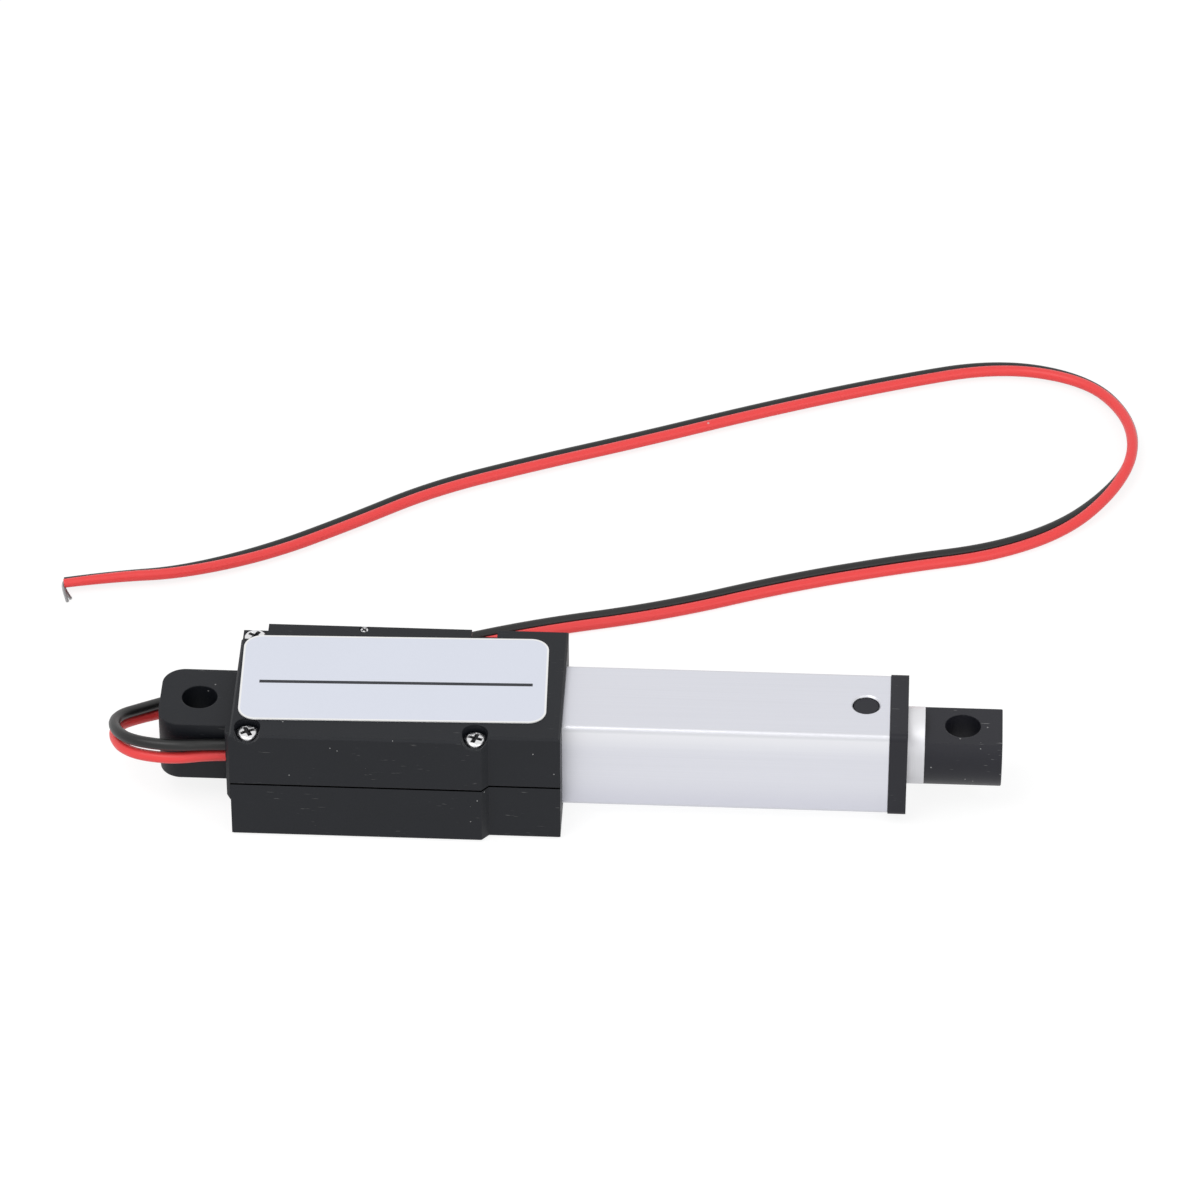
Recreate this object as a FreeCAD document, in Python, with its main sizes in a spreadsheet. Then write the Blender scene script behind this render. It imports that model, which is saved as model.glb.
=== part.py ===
import FreeCAD, Part
import math
import os
import Sketcher

# Micro linear actuator: a gear motor in a two-shell housing turns a lead screw, and the nut on
# that screw pushes a rod out of a square aluminium tube.
# +X runs along the rod towards its eye, +Z is up. The origin is the centre of the rear eye.

same_place = 0.001
Vector = FreeCAD.Vector
Placement = FreeCAD.Placement
Rotation = FreeCAD.Rotation

document = FreeCAD.newDocument("micro_linear_actuator")
sheet = document.addObject("Spreadsheet::Sheet", "dims")

# Driving sizes in millimetres, teeth counted
driving_sizes = [
    # eyes and stroke
    ("eye_diameter", 4.0),
    ("stroke", 30.0),
    # rear mount
    ("tang_reach", 4.4),
    ("tang_width", 9.75),
    ("tang_thickness", 7.65),
    ("tang_corner", 2.5),
    ("flange_reach", 6.5),
    ("flange_drop", 5.45),
    ("flange_thickness", 0.9),
    ("flange_chamfer", 0.4),
    ("neck_side_margin", 0.25),
    ("neck_edge_margin", 0.5),
    ("lip_thickness", 0.8),
    ("wire_hole_clearance", 0.05),
    ("lead_side", 5.45),
    ("red_lead_height", 0.1),
    ("black_lead_height", 1.6),
    # housing
    ("housing_rear", 4.2),
    ("housing_back", 9.55),
    ("housing_front", 10.5),
    ("front_setback", 0.9),
    ("setback_length", 8.7),
    ("setback_run", 0.8),
    ("shell_height", 7.1),
    ("shell_wall", 1.2),
    ("shell_chamfer", 0.25),
    ("seam_height", 0.27),
    ("seam_gap", 0.18),
    ("seam_depth", 0.5),
    ("rib_thickness", 1.0),
    ("wire_channel", 1.5),
    ("fit_clearance", 0.05),
    # housing screws
    ("front_rear_inset", 1.95),
    ("back_corner_inset", 1.42),
    ("screw_step_inset", 0.7),
    ("screw_front_inset", 1.7),
    ("back_rear_inset", 1.55),
    ("back_step_inset", 2.25),
    ("screw_diameter", 1.6),
    ("screw_length", 10.3),
    ("screw_head_diameter", 2.4),
    ("screw_head_height", 0.65),
    ("counterbore_diameter", 2.9),
    ("counterbore_depth", 1.2),
    ("boss_width", 2.8),
    ("screw_clearance", 0.1),
    ("pilot_clearance", 0.02),
    ("edge_screw_position", 13.6),
    ("edge_screw_inset", 0.65),
    ("edge_screw_diameter", 1.1),
    ("edge_screw_length", 1.0),
    ("edge_screw_sink", 0.1),
    # label
    ("label_rear_margin", 0.55),
    ("label_end_margin", 1.9),
    ("label_back_margin", 2.1),
    ("label_front_margin", 3.25),
    ("label_thickness", 0.12),
    ("label_corner", 2.0),
    ("label_turn", 1.4),
    # tube and front cap
    ("tube_side", 11.2),
    ("tube_wall", 0.9),
    ("tube_corner", 0.7),
    ("tube_engagement", 5.9),
    ("shoulder_thickness", 1.0),
    ("lug_setback", 2.7),
    ("lug_hole_diameter", 3.0),
    ("lug_clearance", 0.12),
    ("lug_sink", 0.25),
    ("lug_hole_bevel", 0.18),
    ("cap_thickness", 2.0),
    ("cap_overhang", 0.1),
    ("cap_plug_length", 4.9),
    # rod
    ("rod_diameter", 8.6),
    ("rod_wall", 0.8),
    ("rod_gap", 1.9),
    ("rod_eye_setback", 4.2),
    ("rod_end_length", 8.6),
    ("rod_end_flats", 5.85),
    ("rod_end_chamfer", 0.1),
    ("spigot_length", 5.0),
    ("running_clearance", 0.03),
    # nut and lead screw
    ("nut_clearance", 0.1),
    ("nut_length", 3.0),
    ("nut_spigot", 3.0),
    ("screw_thread_diameter", 4.0),
    ("thread_clearance", 0.05),
    ("journal_diameter", 3.0),
    ("gear_seat_diameter", 2.0),
    ("tail_diameter", 0.9),
    ("end_float", 0.1),
    ("bush_flange_diameter", 5.4),
    ("bush_flange_thickness", 1.2),
    ("bush_body_diameter", 4.0),
    # motor
    ("terminal_room", 1.2),
    ("motor_diameter", 12.0),
    ("motor_height", 10.0),
    ("motor_wall", 0.5),
    ("bell_thickness", 1.6),
    ("can_length", 13.4),
    ("terminal_length", 0.9),
    ("terminal_spacing", 7.0),
    ("terminal_width", 1.6),
    ("terminal_thickness", 0.4),
    ("magnet_thickness", 1.0),
    ("magnet_height", 6.4),
    ("magnet_end_room", 1.95),
    ("air_gap", 0.25),
    ("core_inset", 1.0),
    ("core_hub_diameter", 3.0),
    ("core_arm_width", 1.6),
    ("core_shoe_thickness", 0.7),
    ("core_shoe_width", 5.2),
    ("winding_thickness", 0.7),
    ("motor_shaft_diameter", 1.0),
    ("commutator_diameter", 2.4),
    ("commutator_length", 1.6),
    # gearbox
    ("plate_thickness", 0.7),
    ("pillar_radius", 0.6),
    ("pillar_inset", 0.8),
    ("gear_module", 0.2),
    ("pinion_teeth", 10),
    ("wheel_teeth", 22),
    ("tooth_backlash", 0.03),
    ("first_face", 1.2),
    ("second_face", 1.2),
    ("third_face", 1.4),
    ("output_face", 1.7),
    ("gear_gap", 0.3),
    ("plate_gap", 0.2),
    ("journal_room", 1.0),
    ("idler_diameter", 0.8),
    # limit switches
    ("board_thickness", 0.8),
    ("board_clearance", 0.3),
    ("board_hole_diameter", 5.2),
    ("board_gap", 0.4),
    ("rear_switch_width", 3.0),
    ("rear_switch_height", 1.5),
    ("rear_switch_thickness", 0.7),
    ("rear_switch_drop", 2.7),
    ("button_side", 0.6),
    ("button_length", 0.5),
    ("rear_button_gap", 0.2),
    ("front_button_gap", 0.6),
    ("front_switch_side", 1.4),
    ("front_switch_length", 2.7),
    ("switch_wall_gap", 0.1),
    ("lead_width", 1.0),
    ("lead_thickness", 0.2),
    ("lead_groove_width", 1.5),
    ("lead_groove_depth", 0.3),
    ("diode_thickness", 1.2),
    ("diode_height", 1.2),
    ("diode_length", 3.0),
    ("diode_offset", 4.2),
    # wires
    ("wire_diameter", 1.3),
    ("strand_diameter", 0.4),
]


class Size:
    """A number together with the sheet expression that gives it."""

    def __init__(self, value, text):
        self.value = value
        self.text = text

    def __add__(self, other):
        other = as_size(other)
        return Size(self.value + other.value, f"({self.text} + {other.text})")

    def __sub__(self, other):
        other = as_size(other)
        return Size(self.value - other.value, f"({self.text} - {other.text})")

    def __mul__(self, other):
        other = as_size(other)
        return Size(self.value * other.value, f"({self.text} * {other.text})")

    def __truediv__(self, other):
        other = as_size(other)
        return Size(self.value / other.value, f"({self.text} / {other.text})")

    def __neg__(self):
        return self * -1


def as_size(item):
    if isinstance(item, Size):
        return item
    return Size(float(item), f"({float(item)})")


def sine(angle):
    return Size(math.sin(math.radians(angle.value)), f"sin({angle.text} * 1 deg)")


def cosine(angle):
    return Size(math.cos(math.radians(angle.value)), f"cos({angle.text} * 1 deg)")


def smaller(first, second):
    return Size(min(first.value, second.value), f"min({first.text}; {second.text})")


size = {}
for row, (alias, value) in enumerate(driving_sizes, start=1):
    sheet.set(f"A{row}", alias)
    sheet.set(f"B{row}", str(value))
    sheet.setAlias(f"B{row}", alias)
    size[alias] = Size(float(value), f"dims.{alias}")
document.recompute()

subparts = []


def keep(item, label):
    """Gives a finished sub-part the name of its file."""
    item.Label = label
    subparts.append(item)
    return item


def tie(item, prop, amount):
    """Sets a property from the sheet."""
    item.setExpression(prop, as_size(amount).text)


# PartDesign helpers

def new_body(name):
    return document.addObject("PartDesign::Body", name + "_body")


def new_sketch(body, word, role, offset=0, turn=0):
    """A sketch on one of the body's origin planes, moved along its normal and turned about it."""
    sketch = body.newObject("Sketcher::SketchObject", body.Name + "_" + word)
    plane = [item for item in body.Origin.OriginFeatures if item.Role == role][0]
    sketch.AttachmentSupport = [(plane, "")]
    sketch.MapMode = "FlatFace"
    offset = as_size(offset)
    turned = Rotation(Vector(0, 0, 1), as_size(turn).value)
    sketch.AttachmentOffset = Placement(Vector(0, 0, offset.value), turned)
    tie(sketch, "AttachmentOffset.Base.z", offset)
    if isinstance(turn, Size):
        tie(sketch, "AttachmentOffset.Rotation.Angle", turn)
    return sketch


def pin_point(sketch, geometry, point, place):
    """Holds one point of the sketch at its two sizes from the sketch's origin."""
    for kind, amount in zip(("DistanceX", "DistanceY"), place):
        amount = as_size(amount)
        rule = Sketcher.Constraint(kind, -1, 1, geometry, point, amount.value)
        number = sketch.addConstraint(rule)
        tie(sketch, f"Constraints[{number}]", amount)


def draw_polygon(sketch, points):
    first = sketch.GeometryCount
    places = [Vector(as_size(x).value, as_size(y).value, 0) for x, y in points]
    count = len(places)
    for index in range(count):
        line = Part.LineSegment(places[index], places[(index + 1) % count])
        sketch.addGeometry(line, False)
    for index in range(count):
        following = first + (index + 1) % count
        sketch.addConstraint(Sketcher.Constraint("Coincident", first + index, 2, following, 1))
    for index in range(count):
        pin_point(sketch, first + index, 1, points[index])


def draw_rectangle(sketch, low_x, high_x, low_y, high_y):
    draw_polygon(sketch, [(low_x, low_y), (high_x, low_y), (high_x, high_y), (low_x, high_y)])


def draw_centred(sketch, width, height):
    draw_rectangle(sketch, -width / 2, width / 2, -height / 2, height / 2)


def draw_circle(sketch, x, y, diameter):
    centre = Vector(as_size(x).value, as_size(y).value, 0)
    circle = Part.Circle(centre, Vector(0, 0, 1), diameter.value / 2)
    geometry = sketch.addGeometry(circle, False)
    pin_point(sketch, geometry, 3, (x, y))
    number = sketch.addConstraint(Sketcher.Constraint("Radius", geometry, diameter.value / 2))
    tie(sketch, f"Constraints[{number}]", diameter / 2)


def pad(body, sketch, length, backward=False):
    """Adds material along the sketch's normal, or against it."""
    feature = body.newObject("PartDesign::Pad", sketch.Name + "_pad")
    feature.Profile = sketch
    feature.Reversed = backward
    tie(feature, "Length", length)
    document.recompute()
    return feature


def pocket(body, sketch, length, backward=False):
    """Cuts along the sketch's normal, or against it, and makes sure that something was cut."""
    before = body.Shape.Volume
    feature = body.newObject("PartDesign::Pocket", sketch.Name + "_pocket")
    feature.Profile = sketch
    feature.Reversed = not backward
    tie(feature, "Length", length)
    document.recompute()
    if not feature.Shape.Volume < before:
        raise RuntimeError(f"{feature.Name} cut nothing")
    return feature


def edges_where(feature, test):
    document.recompute()
    edges = enumerate(feature.Shape.Edges, start=1)
    return [f"Edge{number}" for number, edge in edges if test(edge)]


def round_edges(body, feature, radius, test):
    fillet = body.newObject("PartDesign::Fillet", feature.Name + "_round")
    fillet.Base = (feature, edges_where(feature, test))
    tie(fillet, "Radius", radius)
    document.recompute()
    return fillet


def bevel_edges(body, feature, amount, test):
    chamfer = body.newObject("PartDesign::Chamfer", feature.Name + "_bevel")
    chamfer.Base = (feature, edges_where(feature, test))
    tie(chamfer, "Size", amount)
    document.recompute()
    return chamfer


def runs_along(edge, axis):
    """True where the edge is straight and parallel to X, Y or Z (0, 1 or 2)."""
    box = edge.BoundBox
    lengths = (box.XLength, box.YLength, box.ZLength)
    others = sum(lengths) - lengths[axis]
    return lengths[axis] > same_place and others < same_place


def lies_at_height(edge, height):
    box = edge.BoundBox
    return abs(box.ZMin - height) < same_place and abs(box.ZMax - height) < same_place


# Part primitives

def new_box(name, x, y, z, length, width, height):
    """A box from its lowest corner."""
    box = document.addObject("Part::Box", name)
    for prop, amount in (("Length", length), ("Width", width), ("Height", height)):
        tie(box, prop, amount)
    for prop, amount in (("x", x), ("y", y), ("z", z)):
        tie(box, "Placement.Base." + prop, amount)
    return box


def new_rod(name, diameter, start, length, y=0, z=0, along="X"):
    """A cylinder from its first end, along X, Y or Z."""
    rod = document.addObject("Part::Cylinder", name)
    turns = {
        "X": Rotation(Vector(0, 1, 0), 90),
        "Y": Rotation(Vector(1, 0, 0), -90),
        "Z": Rotation(),
    }
    rod.Placement = Placement(Vector(), turns[along])
    tie(rod, "Radius", diameter / 2)
    tie(rod, "Height", length)
    for prop, amount in (("x", start), ("y", y), ("z", z)):
        tie(rod, "Placement.Base." + prop, amount)
    return rod


def cut(name, base, tool):
    item = document.addObject("Part::Cut", name)
    item.Base = base
    item.Tool = tool
    return item


def common(name, base, tool):
    item = document.addObject("Part::Common", name)
    item.Base = base
    item.Tool = tool
    return item


def fuse(name, shapes):
    item = document.addObject("Part::MultiFuse", name)
    item.Shapes = shapes
    return item


def group(name, links):
    item = document.addObject("Part::Compound", name)
    item.Links = links
    return item


# Places that several pieces share, along X, from the rear wall to the rod's eye
cavity_rear = size["housing_rear"] + size["shell_wall"]
motor_rear = cavity_rear + size["lip_thickness"] + size["terminal_room"]
can_rear = motor_rear + size["bell_thickness"]
gearbox_rear = can_rear + size["can_length"]
plates_rear = gearbox_rear + size["plate_thickness"]
first_start = plates_rear + size["plate_gap"]
second_start = first_start + size["first_face"] + size["gear_gap"]
third_start = second_start + size["second_face"] + size["gear_gap"]
output_start = third_start + size["third_face"] + size["gear_gap"]
output_end = output_start + size["output_face"]
plates_front = output_end + size["journal_room"]
gearbox_front = plates_front + size["plate_thickness"]
bush_end = gearbox_front + size["bush_flange_thickness"]
board_rear = bush_end + size["board_gap"]
shoulder_rear = board_rear + size["board_thickness"]
tube_rear = shoulder_rear + size["shoulder_thickness"]
housing_front_end = tube_rear + size["tube_engagement"]
setback_start = housing_front_end - size["setback_length"]
rear_button_end = shoulder_rear + size["rear_switch_thickness"] + size["button_length"]
nut_rear = rear_button_end + size["rear_button_gap"]
nut_front = nut_rear + size["nut_length"]
front_button_start = nut_front + size["stroke"] + size["front_button_gap"]
front_switch_start = front_button_start + size["button_length"]
plug_rear = front_switch_start + size["front_switch_length"]
tube_front = plug_rear + size["cap_plug_length"]
cap_front = tube_front + size["cap_thickness"]
rod_shoulder = cap_front + size["rod_gap"]
rod_end_front = rod_shoulder + size["rod_end_length"]
rod_eye = rod_shoulder + size["rod_eye_setback"]
lug_position = tube_front - size["lug_setback"]

# Sizes that fit another piece
tube_bore = size["tube_side"] - size["tube_wall"] * 2
rod_bore = size["rod_diameter"] - size["rod_wall"] * 2
spigot_diameter = rod_bore - size["fit_clearance"]
narrow_front = size["housing_front"] - size["front_setback"]
cavity_height = size["shell_height"] - size["shell_wall"]
nut_side = tube_bore - size["nut_clearance"] * 2
# the rear flange, level with the tang's top and back, and its neck, each as front, back, bottom and top
flange_extent = (
    -size["flange_reach"],
    size["tang_width"] / 2,
    -size["flange_drop"],
    size["tang_thickness"] / 2,
)
neck_extent = (
    flange_extent[0] + size["neck_side_margin"],
    flange_extent[1] - size["neck_side_margin"],
    flange_extent[2] + size["neck_edge_margin"],
    flange_extent[3] - size["neck_edge_margin"],
)
wire_hole = size["wire_diameter"] + size["wire_hole_clearance"] * 2
# the screws and the holes for their shanks have few sides, since they repeat
fastener_sides = 12
fastener_turns = [math.tau * number / fastener_sides for number in range(fastener_sides)]
front_line = size["screw_front_inset"] - size["housing_front"]
step_line = setback_start - size["screw_step_inset"]
front_screws = [
    (size["housing_rear"] + size["front_rear_inset"], front_line),
    (step_line, front_line),
]
corner_screw = (
    size["housing_rear"] + size["back_corner_inset"],
    size["housing_back"] - size["back_rear_inset"],
)
back_screws = [
    corner_screw,
    (step_line, size["housing_back"] - size["back_step_inset"]),
]
screw_places = front_screws + back_screws
edge_screw_place = (
    size["housing_rear"] + size["edge_screw_position"],
    size["housing_back"] - size["edge_screw_inset"],
)


def make_rear_mount():
    """Tang with the rear eye, on a flange whose neck is held in the housing's rear wall."""
    body = new_body("rear_mount")
    flange_rear = size["housing_rear"] - size["flange_thickness"]
    tang = new_sketch(body, "tang", "XY_Plane", -size["tang_thickness"] / 2)
    half = size["tang_width"] / 2
    draw_rectangle(tang, -size["tang_reach"], flange_rear, -half, half)
    tang_pad = pad(body, tang, size["tang_thickness"])
    rear = -size["tang_reach"].value

    def is_rear_corner(edge):
        return runs_along(edge, 2) and abs(edge.BoundBox.XMin - rear) < same_place

    round_edges(body, tang_pad, size["tang_corner"], is_rear_corner)
    flange = new_sketch(body, "flange", "YZ_Plane", flange_rear)
    draw_rectangle(flange, *flange_extent)
    flange_pad = pad(body, flange, size["flange_thickness"])
    front = flange_extent[0].value
    bottom = flange_extent[2].value

    def is_flange_rim(edge):
        box = edge.BoundBox
        on_rear = abs(box.XMin - flange_rear.value) < same_place and box.XLength < same_place
        level = box.ZLength < same_place and abs(box.ZMin - bottom) < same_place
        upright = box.YLength < same_place and abs(box.YMin - front) < same_place
        return on_rear and (level or upright)

    bevel_edges(body, flange_pad, size["flange_chamfer"], is_flange_rim)
    neck = new_sketch(body, "neck", "YZ_Plane", size["housing_rear"])
    draw_rectangle(neck, *neck_extent)
    pad(body, neck, size["shell_wall"])
    lip = new_sketch(body, "lip", "YZ_Plane", cavity_rear)
    draw_rectangle(lip, *flange_extent)
    pad(body, lip, size["lip_thickness"])
    eye = new_sketch(body, "eye", "XY_Plane", -size["tang_thickness"] / 2)
    draw_circle(eye, 0, 0, size["eye_diameter"])
    pocket(body, eye, size["tang_thickness"])
    leads = new_sketch(body, "leads", "YZ_Plane", flange_rear)
    for height in (size["red_lead_height"], size["black_lead_height"]):
        draw_circle(leads, -size["lead_side"], height, wire_hole)
    pocket(body, leads, cavity_rear + size["lip_thickness"] - flange_rear)
    keep(body, "rear_mount")


def make_shell(name, upper):
    """Half of the housing: a walled tray with ribs that cradle the motor and a seat for the tube.
    The two halves clamp the motor, the mount's neck and the tube from above and below."""
    body = new_body(name)
    down = not upper
    side_play = size["fit_clearance"] * 2
    rear = size["housing_rear"]
    back = size["housing_back"]
    wall = size["shell_wall"]
    seam = size["seam_height"]
    height = size["shell_height"] - seam if upper else size["shell_height"] + seam
    hollow = height - wall
    outline = new_sketch(body, "outline", "XY_Plane", seam)
    draw_polygon(outline, shell_outline())
    outline_pad = pad(body, outline, height, down)
    outer = size["shell_height"].value if upper else -size["shell_height"].value
    bevel_edges(body, outline_pad, size["shell_chamfer"], lambda edge: lies_at_height(edge, outer))
    if not upper:
        cut_seam(body)
    cavity = new_sketch(body, "cavity", "XY_Plane", seam)
    step = setback_start - wall
    draw_polygon(cavity, [
        (cavity_rear, wall - size["housing_front"]),
        (step, wall - size["housing_front"]),
        (step, wall - narrow_front),
        (shoulder_rear, wall - narrow_front),
        (shoulder_rear, back - wall),
        (cavity_rear, back - wall),
    ])
    pocket(body, cavity, hollow, down)
    bosses = new_sketch(body, "bosses", "XY_Plane", seam)
    half = size["boss_width"] / 2
    for x, y in screw_places:
        if y.value < 0:
            draw_rectangle(bosses, x - half, x + half, wall - size["housing_front"], y + half)
        else:
            draw_rectangle(bosses, x - half, x + half, y - half, back - wall)
    pad(body, bosses, hollow, down)
    ribs = new_sketch(body, "ribs", "XY_Plane", seam)
    can_middle = can_rear + size["can_length"] / 2
    for start in (can_rear, can_middle, plates_front):
        draw_rectangle(ribs, start, start + size["rib_thickness"],
                       wall - narrow_front + size["wire_channel"], back - wall)
    pad(body, ribs, hollow, down)
    cradle = new_sketch(body, "cradle", "YZ_Plane", cavity_rear)
    draw_centred(cradle, size["motor_diameter"] + side_play, size["motor_height"])
    pocket(body, cradle, board_rear - cavity_rear)
    neck = new_sketch(body, "neck", "YZ_Plane", rear)
    neck_front, neck_back, bottom, top = neck_extent
    draw_rectangle(neck, neck_front - side_play / 2, neck_back + side_play / 2, bottom, top)
    pocket(body, neck, wall)
    mouth = new_sketch(body, "mouth", "YZ_Plane", shoulder_rear)
    draw_centred(mouth, tube_bore, tube_bore)
    pocket(body, mouth, size["shoulder_thickness"])
    socket = new_sketch(body, "socket", "YZ_Plane", tube_rear)
    draw_centred(socket, size["tube_side"] + side_play, size["tube_side"])
    pocket(body, socket, size["tube_engagement"])
    holes = new_sketch(body, "holes", "XY_Plane", seam)
    play = size["screw_clearance"] if upper else size["pilot_clearance"]
    for x, y in screw_places:
        radius = size["screw_diameter"] / 2 + play
        draw_polygon(holes, [(x + radius * math.cos(turn), y + radius * math.sin(turn))
                             for turn in fastener_turns])
    pocket(body, holes, hollow, down)
    if upper:
        sink_screw_heads(body)
    keep(body, name)


def shell_outline(inset=0):
    """The plan of both halves, drawn in from the edge all round; the slanted step keeps its slope."""
    step = setback_start + size["setback_run"]
    inset = as_size(inset)
    return [
        (size["housing_rear"] + inset, inset - size["housing_front"]),
        (setback_start - inset / 2, inset - size["housing_front"]),
        (step - inset / 2, inset - narrow_front),
        (housing_front_end - inset, inset - narrow_front),
        (housing_front_end - inset, size["housing_back"] - inset),
        (size["housing_rear"] + inset, size["housing_back"] - inset),
    ]


def cut_seam(body):
    """The narrow groove that is left open round the lower half's rim, where the halves meet."""
    rim = new_sketch(body, "rim", "XY_Plane", size["seam_height"])
    draw_polygon(rim, shell_outline())
    draw_polygon(rim, shell_outline(size["seam_depth"]))
    pocket(body, rim, size["seam_gap"], True)


def sink_screw_heads(body):
    """Counterbores in the top face: the front ones open to the side in round notches, the back ones
    in straight ones, and the one in the back corner opens to the rear too."""
    top = size["shell_height"]
    depth = size["counterbore_depth"]
    radius = size["counterbore_diameter"] / 2
    back = size["housing_back"]
    seats = new_sketch(body, "seats", "XY_Plane", top)
    for x, y in screw_places:
        draw_circle(seats, x, y, size["counterbore_diameter"])
    pocket(body, seats, depth, True)
    openings = new_sketch(body, "openings", "XY_Plane", top)
    for x, y in back_screws:
        draw_rectangle(openings, x - radius, x + radius, y, back)
    pocket(body, openings, depth, True)
    corner = new_sketch(body, "corner", "XY_Plane", top)
    x, y = corner_screw
    draw_rectangle(corner, size["housing_rear"], x, y - radius, back)
    pocket(body, corner, depth, True)
    notches = new_sketch(body, "notches", "XZ_Plane", size["housing_front"])
    for x, y in front_screws:
        draw_circle(notches, x, top - depth + radius, size["counterbore_diameter"])
    pocket(body, notches, size["screw_front_inset"], True)
    edge_seat = new_sketch(body, "edge_seat", "XY_Plane", top)
    draw_circle(edge_seat, *edge_screw_place, size["edge_screw_diameter"] + size["pilot_clearance"] * 2)
    pocket(body, edge_seat, size["edge_screw_sink"] + size["edge_screw_length"], True)


def new_fastener(name, diameter, x, y, low, length):
    """A round of few sides along Z, for a head or a shank."""
    prism = document.addObject("Part::Prism", name)
    prism.Polygon = fastener_sides
    tie(prism, "Circumradius", diameter / 2)
    tie(prism, "Height", length)
    for axis, amount in (("x", x), ("y", y), ("z", low)):
        tie(prism, "Placement.Base." + axis, amount)
    return prism


def make_housing_screws():
    seat = size["shell_height"] - size["counterbore_depth"]
    screws = []
    for number, (x, y) in enumerate(screw_places, start=1):
        head = new_fastener(f"screw_head_{number}", size["screw_head_diameter"], x, y, seat,
                            size["screw_head_height"])
        shank = new_fastener(f"screw_shank_{number}", size["screw_diameter"], x, y,
                             seat - size["screw_length"], size["screw_length"])
        screws.append(fuse(f"screw_{number}", [head, shank]))
    keep(group("housing_screw_set", screws), "housing_screws")
    x, y = edge_screw_place
    low = size["shell_height"] - size["edge_screw_sink"] - size["edge_screw_length"]
    edge = new_rod("edge_screw_pin", size["edge_screw_diameter"], x, size["edge_screw_length"], y, low, "Z")
    keep(edge, "edge_screw")


def make_label():
    """Film on the top face, stuck on a little askew: its sketch is turned about the label's middle."""
    body = new_body("label")
    turn = size["label_turn"]
    plan = new_sketch(body, "plan", "XY_Plane", size["shell_height"], turn)
    rear = size["housing_rear"] + size["label_rear_margin"]
    end = housing_front_end - size["label_end_margin"]
    front = size["label_front_margin"] - size["housing_front"]
    back = size["housing_back"] - size["label_back_margin"]
    middle_x = (rear + end) / 2
    middle_y = (front + back) / 2
    along = middle_x * cosine(turn) + middle_y * sine(turn)
    across = middle_y * cosine(turn) - middle_x * sine(turn)
    half_length = (end - rear) / 2
    half_width = (back - front) / 2
    draw_rectangle(plan, along - half_length, along + half_length, across - half_width, across + half_width)
    plate = pad(body, plan, size["label_thickness"])
    round_edges(body, plate, size["label_corner"], lambda edge: runs_along(edge, 2))
    keep(body, "label")


def make_tube():
    body = new_body("actuator_tube")
    length = tube_front - tube_rear
    square = new_sketch(body, "square", "YZ_Plane", tube_rear)
    draw_centred(square, size["tube_side"], size["tube_side"])
    bar = pad(body, square, length)
    round_edges(body, bar, size["tube_corner"], lambda edge: runs_along(edge, 0))
    bore = new_sketch(body, "bore", "YZ_Plane", tube_rear)
    draw_centred(bore, tube_bore, tube_bore)
    pocket(body, bore, length)
    lug_hole = new_sketch(body, "lug_hole", "XY_Plane")
    draw_circle(lug_hole, lug_position, 0, size["lug_hole_diameter"])
    hole = pocket(body, lug_hole, size["tube_side"])
    face = size["tube_side"].value / 2

    def is_hole_rim(edge):
        return lies_at_height(edge, face) and isinstance(edge.Curve, Part.Circle)

    bevel_edges(body, hole, size["lug_hole_bevel"], is_hole_rim)
    keep(body, "actuator_tube")


def make_front_cap():
    """Cap over the tube's end, with a plug inside it and a lug that snaps into the tube's hole."""
    body = new_body("front_cap")
    plate = new_sketch(body, "plate", "YZ_Plane", tube_front)
    plate_side = size["tube_side"] + size["cap_overhang"] * 2
    draw_centred(plate, plate_side, plate_side)
    plate_pad = pad(body, plate, size["cap_thickness"])
    round_edges(body, plate_pad, size["tube_corner"], lambda edge: runs_along(edge, 0))
    plug = new_sketch(body, "plug", "YZ_Plane", plug_rear)
    plug_side = tube_bore - size["fit_clearance"] * 2
    draw_centred(plug, plug_side, plug_side)
    pad(body, plug, size["cap_plug_length"])
    lug = new_sketch(body, "lug", "XY_Plane", size["rod_diameter"] / 2)
    draw_circle(lug, lug_position, 0, size["lug_hole_diameter"] - size["lug_clearance"] * 2)
    pad(body, lug, (size["tube_side"] - size["rod_diameter"]) / 2 - size["lug_sink"])
    bore = new_sketch(body, "bore", "YZ_Plane", plug_rear)
    draw_circle(bore, 0, 0, size["rod_diameter"] + size["running_clearance"] * 2)
    pocket(body, bore, cap_front - plug_rear)
    keep(body, "front_cap")


def make_rod():
    outer = new_rod("rod_outer", size["rod_diameter"], nut_front, rod_shoulder - nut_front)
    inner = new_rod("rod_inner", rod_bore, nut_front, rod_shoulder - nut_front)
    keep(cut("rod", outer, inner), "rod_tube")


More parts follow.
